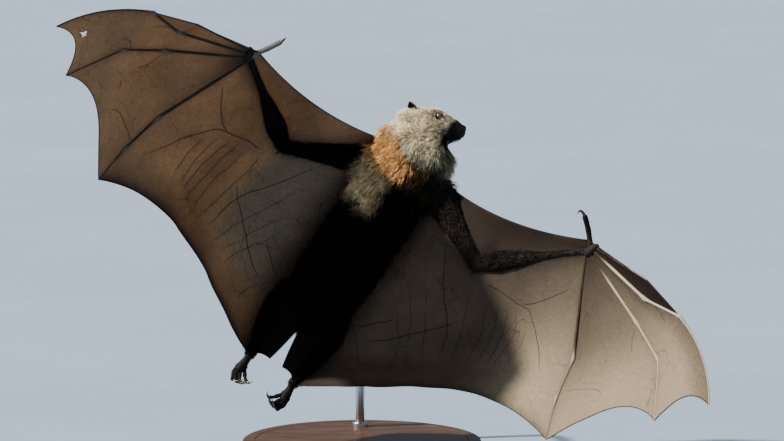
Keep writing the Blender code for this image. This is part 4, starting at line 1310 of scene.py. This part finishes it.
# painted shade: little orange on the underside towards the bat's left, and under the grey throat
zones["collar"] = onNeck * (1 - zones["grey"]) * (1 - 0.94 * ventral * (1 - rightOf))
zones["collar"] *= 1 - 0.6 * (zones["grey"] > 0.05) * ventral
low, more = marks["dorsal"]
dorsal = (low + more * smoothStep(ahead, *marks["dorsalFade"])) * (1 - ventral)
# the pale flank only on the bat's right and inside the line; elsewhere painted shade
outline = np.interp(ahead, *marks["flankShadeLine"])
besideBelly = smoothStep(aside - 10 + ragged * 14, -3, 8) * smoothStep(outline - aside + ragged * 8, -3, 3)
besideBelly *= smoothStep(ahead - marks["flankFrom"] + ragged * 22, -8, 8) * ventral
zones["flank"] = evened(np.maximum(dorsal, besideBelly) * (kind == "trunk") * (1 - zones["collar"]), pairs, 6)
# the dark muzzle: dark skin and fur, with painted shade over the mouth and lower jaw
start, slope, above = marks["muzzleDarkAndShade"]
front = (onHead[:, 1] - start) * slope + above - onHead[:, 2] + ragged * 3
lidGap = np.linalg.norm(np.stack([np.abs(onHead[:, 0]), *onHead.T[1:]], 1) - face["eye"], axis=1)
zones["muzzleDarkAndShade"] = smoothStep(front, -1.8, 1.8) * (kind != "neck") * (onHead[:, 1] > 10)
zones["muzzleDarkAndShade"] = np.maximum(zones["muzzleDarkAndShade"], marks["lidShade"] * (1 - smoothStep(lidGap, *marks["lidFade"])))
for name, values in {**zones, "bare": bare, "wet": wet}.items():
    setAttribute(skin, name, values)
finished(skin, fleshSkin, "fur_dark", *fleshSolids)
skinNormals = perPoint(skin, "normal")
print("body skin made:", count, "points")

for side, sign in sides.items():
    centre = headPlace @ (Vector(mirrorX(face["eye"], sign)) * mm)
    gaze = (headPlace.to_3x3() @ Vector(mirrorX(face["gaze"], sign))).normalized()
    bpy.ops.object.select_all(action="DESELECT")
    bpy.ops.mesh.primitive_uv_sphere_add(
        segments=48, ring_count=32, radius=face["eyeRadius"] * mm, location=centre,
        rotation=gaze.to_track_quat("Z", "Y").to_euler(),
    )
    eye = settled("eye" + side.capitalize())
    ball = perPoint(eye)
    facing = unitRows(ball - np.array(centre)) @ np.array(gaze)
    setPoints(eye, ball + np.array(gaze) * (smoothStep(facing, 0.80, 1.0) * face["cornea"] * mm)[:, None])
    setAttribute(eye, "gaze", np.degrees(np.arccos(np.clip(facing, -1, 1))) / 60)
    finished(eye, wetEye, "eye", f"eye_{side}")
print("eyes made")

ear = {
    "base": (15.0, -14.0, 8.2), "length": 15, "width": 12.5, "cup": 4.0, "sunk": 0.25, "wall": 0.8, "steps": 30,
    "leans": (0.22, -0.45, 0.86), "faces": (0.45, 0.85, 0.28),
}
for side, sign in sides.items():
    root, axis, facing = (Vector(mirrorX(ear[name], sign)) for name in ("base", "leans", "faces"))
    axis.normalize()
    acrossEar = facing.cross(axis).cross(axis).normalized()
    outEar = axis.cross(acrossEar).normalized()
    if outEar.x * sign < 0:
        outEar.negate()
    leafPoints, rim = [], []
    for r in range(ear["steps"] + 1):
        for c in range(ear["steps"] + 1):
            curl, v = 2 * c / ear["steps"] - 1, r / ear["steps"]
            half = ear["width"] / 2 * math.sin(math.pi * (0.30 + 0.68 * v)) ** 0.9
            hollow = ear["cup"] * (1 - curl ** 2) * (1 - 0.5 * v)
            ridge = 0.10 * math.sin(v * 34) * (1 - abs(curl)) * smoothStep(v, 0.2, 0.4)
            reach = ear["length"] * (v - ear["sunk"])
            leafPoints.append(root + axis * reach + acrossEar * curl * half * 0.98 - outEar * (hollow + ridge))
            # painted light along the ear's edges
            rim.append(max(smoothStep(abs(curl), 0.84, 1.0), smoothStep(v, 0.93, 1.0)))
    leafFaces = quads(ear["steps"] + 1, ear["steps"] + 1).tolist()
    leaf = makeMesh("ear" + side.capitalize(), leafPoints, leafFaces, place=headPlace)
    setAttribute(leaf, "rim", rim)
    walled(leaf, ear["wall"])
    outward(leaf)
    finished(leaf, blackSkin, "skin_black", f"ear_{side}")
print("ears made")

foot = {
    "palm": 20, "width": 5.4, "depth": 4.6, "radii": (0.66, 0.72, 0.80, 0.92, 1.05, 0.95), "steps": (-3, 15),
    "toes": (-7.4, -2.6, 0.0, 2.4, 4.6), "toe": 18, "longer": 0.4, "toeRadius": 2.3, "toeSteps": 14, "bend": 58,
    "claw": 13, "clawRadius": 1.8, "clawSteps": 12, "clawFlat": 0.7, "hook": 120,
}


def curling(start, ahead, inwards, length, bend, turn, steps):  # a line that bends further at each step
    line = [start]
    for _ in range(steps):
        bend += math.radians(turn / steps)
        line.append(line[-1] + (ahead * math.cos(bend) + inwards * math.sin(bend)) * length / steps)
    return line, bend


for side, sign in sides.items():
    ankle = legJoints(sign)[2]
    back = Vector((sign * 0.06, -1, -0.05)).normalized()
    acrossFoot = Vector((0, 0, 1)).cross(back).normalized()
    sole = Vector((-0.80 * sign, 0, -0.60))  # the soles turn inwards
    sole = (sole - back * sole.dot(back)).normalized()
    path = [ankle + back * (foot["palm"] * n / 14) for n in range(*foot["steps"])]
    radii = smoothRadii([foot["width"] * part for part in foot["radii"]], len(path))
    toes, claws = [tube(path, radii, 20, foot["depth"] / foot["width"])], []
    for k, apart in enumerate(foot["toes"]):  # the first, inner toe stands apart
        nearer, narrow, lean = (8, 0.5, 0.045) if k == 0 else (4, 0.8, 0.02)
        spread = apart * sign
        start = ankle + back * (foot["palm"] - nearer) + acrossFoot * spread * narrow
        ahead = (back + acrossFoot * spread * lean).normalized()
        line, bend = curling(
            start, ahead, sole, foot["toe"] + k * foot["longer"], math.radians(-6 * k / 4),
            foot["bend"] + (k % 2) * 9, foot["toeSteps"],
        )
        knobs = [0.95 + 0.16 * math.cos(n / foot["toeSteps"] * 4 * math.pi) for n in range(len(line))]
        toes.append(tube(line, [foot["toeRadius"] * knob for knob in knobs], 12))
        start = line[-1] - (line[-1] - line[-2]) * 1.5
        line, _ = curling(start, ahead, sole, foot["claw"], bend, foot["hook"], foot["clawSteps"])
        radii = thinning(foot["clawRadius"], foot["clawSteps"], 0.9, 1.4)
        claws.append(tube(line, radii, 12, foot["clawFlat"], up=acrossFoot))
    built("foot" + side.capitalize(), gather(toes), blackSkin, "skin_black", f"foot_{side}", rim=0)
    built("toeClaws" + side.capitalize(), gather(claws), hornClaw, "claw")
print("feet made")

# Coat: tufts rooted in the skin, lying towards the tail and down the limbs.
tuft = {
    "rings": (0.0, 0.4, 0.78, 1.0), "taper": (1.0, 0.9, 0.52, 0.0), "sunk": 0.35, "flat": 0.55, "bend": 0.16,
    "clumpEvery": 10, "gather": 0.50, "patch": 0.003, "strays": 0.08, "most": 12300, "chestEnd": -95,
    "lengths": (0.72, 1.18), "heights": (0.62, 1.12), "strayHeights": (1.05, 1.3), "widths": (0.75, 1.25),
    "wander": 0.55, "scatter": 0.13, "pullMost": 0.45, "bareFrom": 0.45, "margin": 0.01, "room": 0.975,
}
tuftFaces = [(2, 1, 0)] + [
    (r + k, r + (k + 1) % 3, r + (k + 1) % 3 + 3, r + k + 3) for r in (0, 3) for k in range(3)
] + [(6 + k, 6 + (k + 1) % 3, 9) for k in range(3)]
tuftPoints = 10
tuftHeights = np.repeat(tuft["rings"], (3, 3, 3, 1))
tuftAside = np.array([0, 0.5, 1, 0, 0.5, 1, 0.1, 0.5, 0.9, 0.5])

skin.data.calc_loop_triangles()
triangles = np.zeros(len(skin.data.loop_triangles) * 3, int)
skin.data.loop_triangles.foreach_get("vertices", triangles)
triangles = triangles.reshape(-1, 3)
triangleSolid = solids[triangles[:, 0]]
dense = np.array([coat[name]["dense"] for name in kinds])[triangleSolid]


def areas(corners):
    return np.linalg.norm(np.cross(corners[:, 1] - corners[:, 0], corners[:, 2] - corners[:, 0]), axis=1) / 2


skinPoints = into(perPoint(skin), batInverse)
flesh = {
    "points": skinPoints, "normals": skinNormals @ np.array(batInverse, float)[:3, :3].T, "triangles": triangles,
    "lie": lie, "sizes": field, "zones": zones,
    "weight": areas(skinPoints[triangles]) * dense * (bare[triangles].max(1) <= tuft["bareFrom"]),
}


def swirl(points, scale, seed):  # a smooth random direction field
    return np.array([noise.noise_vector(Vector(p) * scale + Vector((seed, seed * 2, 0))) for p in points])


def leadersOf(tips):  # for each tip, the nearest of the few that others gather to
    number = len(tips)
    leaders = random.choice(number, max(1, number // tuft["clumpEvery"]), replace=False)
    tree = kdtree.KDTree(len(leaders))
    for place, leader in enumerate(leaders):
        tree.insert(tips[leader], place)
    tree.balance()
    return np.array([leaders[tree.find(tip)[1]] for tip in tips])


def tuftMesh(name, points):  # points: for each tuft its ten
    number = len(points)
    order = np.array([i for corners in tuftFaces for i in corners])
    loops = (order[None, :] + np.arange(number)[:, None] * tuftPoints).ravel()
    totals = np.tile([len(corners) for corners in tuftFaces], number)
    mesh = bpy.data.meshes.new(name)
    mesh.vertices.add(number * tuftPoints)
    mesh.vertices.foreach_set("co", outOf(points.reshape(-1, 3), batPlace).ravel())
    mesh.loops.add(len(loops))
    mesh.loops.foreach_set("vertex_index", loops)
    mesh.polygons.add(len(totals))
    mesh.polygons.foreach_set("loop_start", np.concatenate([[0], np.cumsum(totals)[:-1]]))
    mesh.polygons.foreach_set("loop_total", totals)
    mesh.update(calc_edges=True)
    return linked(name, mesh), loops


def growCoat(name, ground, chosen, axis, amount=1.0, gathered=1.0):
    weight = ground["weight"] * chosen
    number = min(int(weight.sum() * amount), tuft["most"])
    pick = random.choice(len(weight), number, p=weight / weight.sum())
    root1, r2 = np.sqrt(random.random(number)), random.random(number)
    shares = np.stack([1 - root1, root1 * (1 - r2), root1 * r2], 1)

    def between(values):
        corner = values[ground["triangles"][pick]]
        return (corner * (shares[:, :, None] if corner.ndim == 3 else shares)).sum(1)

    roots, normal, flow, sizes = (between(ground[name]) for name in ("points", "normals", "lie", "sizes"))
    normal = unitRows(normal)
    wander = swirl(roots, 0.06, 3) * 0.55 + swirl(roots, 0.2, 8) * 0.35
    flow = flow + wander * tuft["wander"] + random.normal(0, tuft["scatter"], roots.shape)
    flow -= normal * (flow * normal).sum(1, keepdims=True)
    flow = unitRows(flow)
    aside = np.cross(normal, flow)
    depth, length, width = sizes.T
    length = length * random.uniform(*tuft["lengths"], number)
    height = depth * random.uniform(*tuft["heights"], number)
    stray = random.random(number) < tuft["strays"]
    height = np.where(stray, height * random.uniform(*tuft["strayHeights"], number), height)
    length = np.maximum(length, height * 1.25)
    width = width * random.uniform(*tuft["widths"], number)
    reach = np.sqrt(np.maximum(length ** 2 - height ** 2, 0.2))
    bend = random.normal(0, tuft["bend"], number) + swirl(roots, 0.11, 21)[:, 0] * 0.3
    # tips gather towards a few neighbours' tips, so that hairs form locks
    tips = roots + flow * reach[:, None] + normal * height[:, None]
    lead = leadersOf(tips)
    pull = (tips[lead] - tips) * tuft["gather"] * gathered
    pull *= np.minimum(1, tuft["pullMost"] * length / (np.linalg.norm(pull, axis=1) + 1e-6))[:, None]
    rings = []
    for q, thin in zip(tuft["rings"], tuft["taper"]):
        lifted = height * (1 - (1 - q) ** 1.9) - tuft["sunk"] * (1 - q)
        centre = roots + flow * (reach * q)[:, None] + normal * lifted[:, None]
        centre = centre + aside * (bend * length * q * q)[:, None] + pull * q ** 1.6
        half = (width * thin / 2)[:, None]
        corners = (centre + aside * half, centre + normal * half * tuft["flat"] * 2, centre - aside * half)
        rings.append(np.stack(corners, 1) if thin else centre[:, None, :])
    piece, loops = tuftMesh(name, np.concatenate(rings, 1))
    for zone, values in ground["zones"].items():
        setAttribute(piece, zone, np.repeat(between(values), tuftPoints))
    setAttribute(piece, "bare", 0)
    setAttribute(piece, "tip", np.tile(tuftHeights, number))
    lockShade = random.random(number)[lead] * 0.55 + random.random(number) * 0.45
    setAttribute(piece, "shade", np.repeat(lockShade, tuftPoints))
    # OFBake: the skin unrolled round the piece's own axis, with a small patch for each tuft at its root
    start, run = np.array(axis[0], float), unitRows(np.array(axis[1] - axis[0], float))
    sideAxis = unitRows(np.cross(run, (0.3, 0.2, 1.0)))
    rel = roots - start
    turned = np.arctan2(rel @ np.cross(sideAxis, run), rel @ sideAxis) / (2 * math.pi) + 0.5
    far = rel @ run
    far = (far - far.min()) / max(np.ptp(far), 1e-6)
    uvs = np.stack([
        (tuft["margin"] + tuft["room"] * place)[:, None] + off * tuft["patch"]
        for place, off in ((turned, tuftAside), (far, tuftHeights))
    ], 2).reshape(-1, 2)
    piece.data.uv_layers.new(name="OFBake").data.foreach_set("uv", uvs[loops].ravel())
    finished(piece, coatHair, "fur_dark")


down = {
    "reach": 12, "besideBody": 15, "sizes": (1.2, 7.0, 0.42), "dense": 0.36, "ends": (0.5, 0.85), "flow": (0.55, -0.83)
}


def growWingDown(side):  # sparse hair on the sheets beside the arm and the body, above and below
    parts = {"points": [], "normals": [], "lie": [], "triangles": [], "close": []}
    for panel in ("plagiopatagium", "propatagium"):
        grid, isWide = wingGrids[side, panel], panel == "plagiopatagium"
        normal, (u, v) = sheetNormals(grid), shares(grid)
        near = bell(np.linalg.norm(grid - (grid[:1, :] if isWide else grid[:, -1:]), axis=2), down["reach"])
        if isWide:
            near = np.maximum(near, bell(np.linalg.norm(grid - grid[:, :1], axis=2), down["besideBody"]))
        near = near * (1 - smoothStep(u if isWide else v, *down["ends"]))
        for face in (1, -1):
            corners = quads(*grid.shape[:2]) + sum(len(part) for part in parts["points"])
            parts["triangles"] += [corners[:, [0, 1, 3]], corners[:, [1, 2, 3]]]
            parts["points"].append((grid + normal * face * wing["thick"] * 0.4).reshape(-1, 3))
            parts["normals"].append((normal * face).reshape(-1, 3))
            parts["lie"].append(np.zeros((near.size, 3)) + (sides[side] * down["flow"][0], down["flow"][1], 0))
            parts["close"].append(near.ravel())
    ground = {name: np.concatenate(part) for name, part in parts.items()}
    close, corners = ground["close"], ground["points"][ground["triangles"]]
    ground["sizes"] = np.array(down["sizes"]) * (0.5 + 0.5 * close)[:, None]
    ground["zones"] = {name: np.zeros(len(close)) for name in zones}
    ground["weight"] = areas(corners) * close[ground["triangles"]].mean(1) * down["dense"]
    growCoat("coatWing" + side.capitalize(), ground, 1.0, limbLine(side, "upper_arm", "forearm"), gathered=0.5)


def limbLine(side, first, last):
    return hairLines[f"{first}_{side}"][0], hairLines[f"{last}_{side}"][1]


kind = kinds[triangleSolid]
belly = flesh["normals"][triangles].mean(1)[:, 2] < 0
isTrunk, isNeck, isHead = kind == "trunk", kind == "neck", np.isin(kind, ("head", "nose"))
upper = skinPoints[triangles[:, 0], 1] > tuft["chestEnd"]
rightHalf = onHead[triangles[:, 0], 0] > 0
for name, chosen, solid, amount in (
    ("HeadRight", isHead & rightHalf, "head", 1.0), ("HeadLeft", isHead & ~rightHalf, "head", 1.0),
    ("Throat", isNeck & belly, "neck", 1.2), ("Nape", isNeck & ~belly, "neck", 1.2),
    ("Chest", isTrunk & belly & upper, "trunk", 1.0), ("Belly", isTrunk & belly & ~upper, "trunk", 1.0),
    ("Shoulders", isTrunk & ~belly & upper, "trunk", 1.0), ("Back", isTrunk & ~belly & ~upper, "trunk", 1.0),
):
    growCoat("coat" + name, flesh, chosen, hairLines[solid], amount)
for side in sides:
    for name, limb in (("Arm", ("upper_arm", "forearm", "hand")), ("Leg", ("thigh", "shin"))):
        chosen = np.isin(triangleSolid, [fleshSolids.index(f"{part}_{side}") for part in limb])
        growCoat(f"coat{name}{side.capitalize()}", flesh, chosen, limbLine(side, *limb[:2]), gathered=0.4)
    growWingDown(side)
print("coat grown")

total = 0
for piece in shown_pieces():
    piece.data.calc_loop_triangles()
    total += len(piece.data.loop_triangles)
print("triangles:", total)
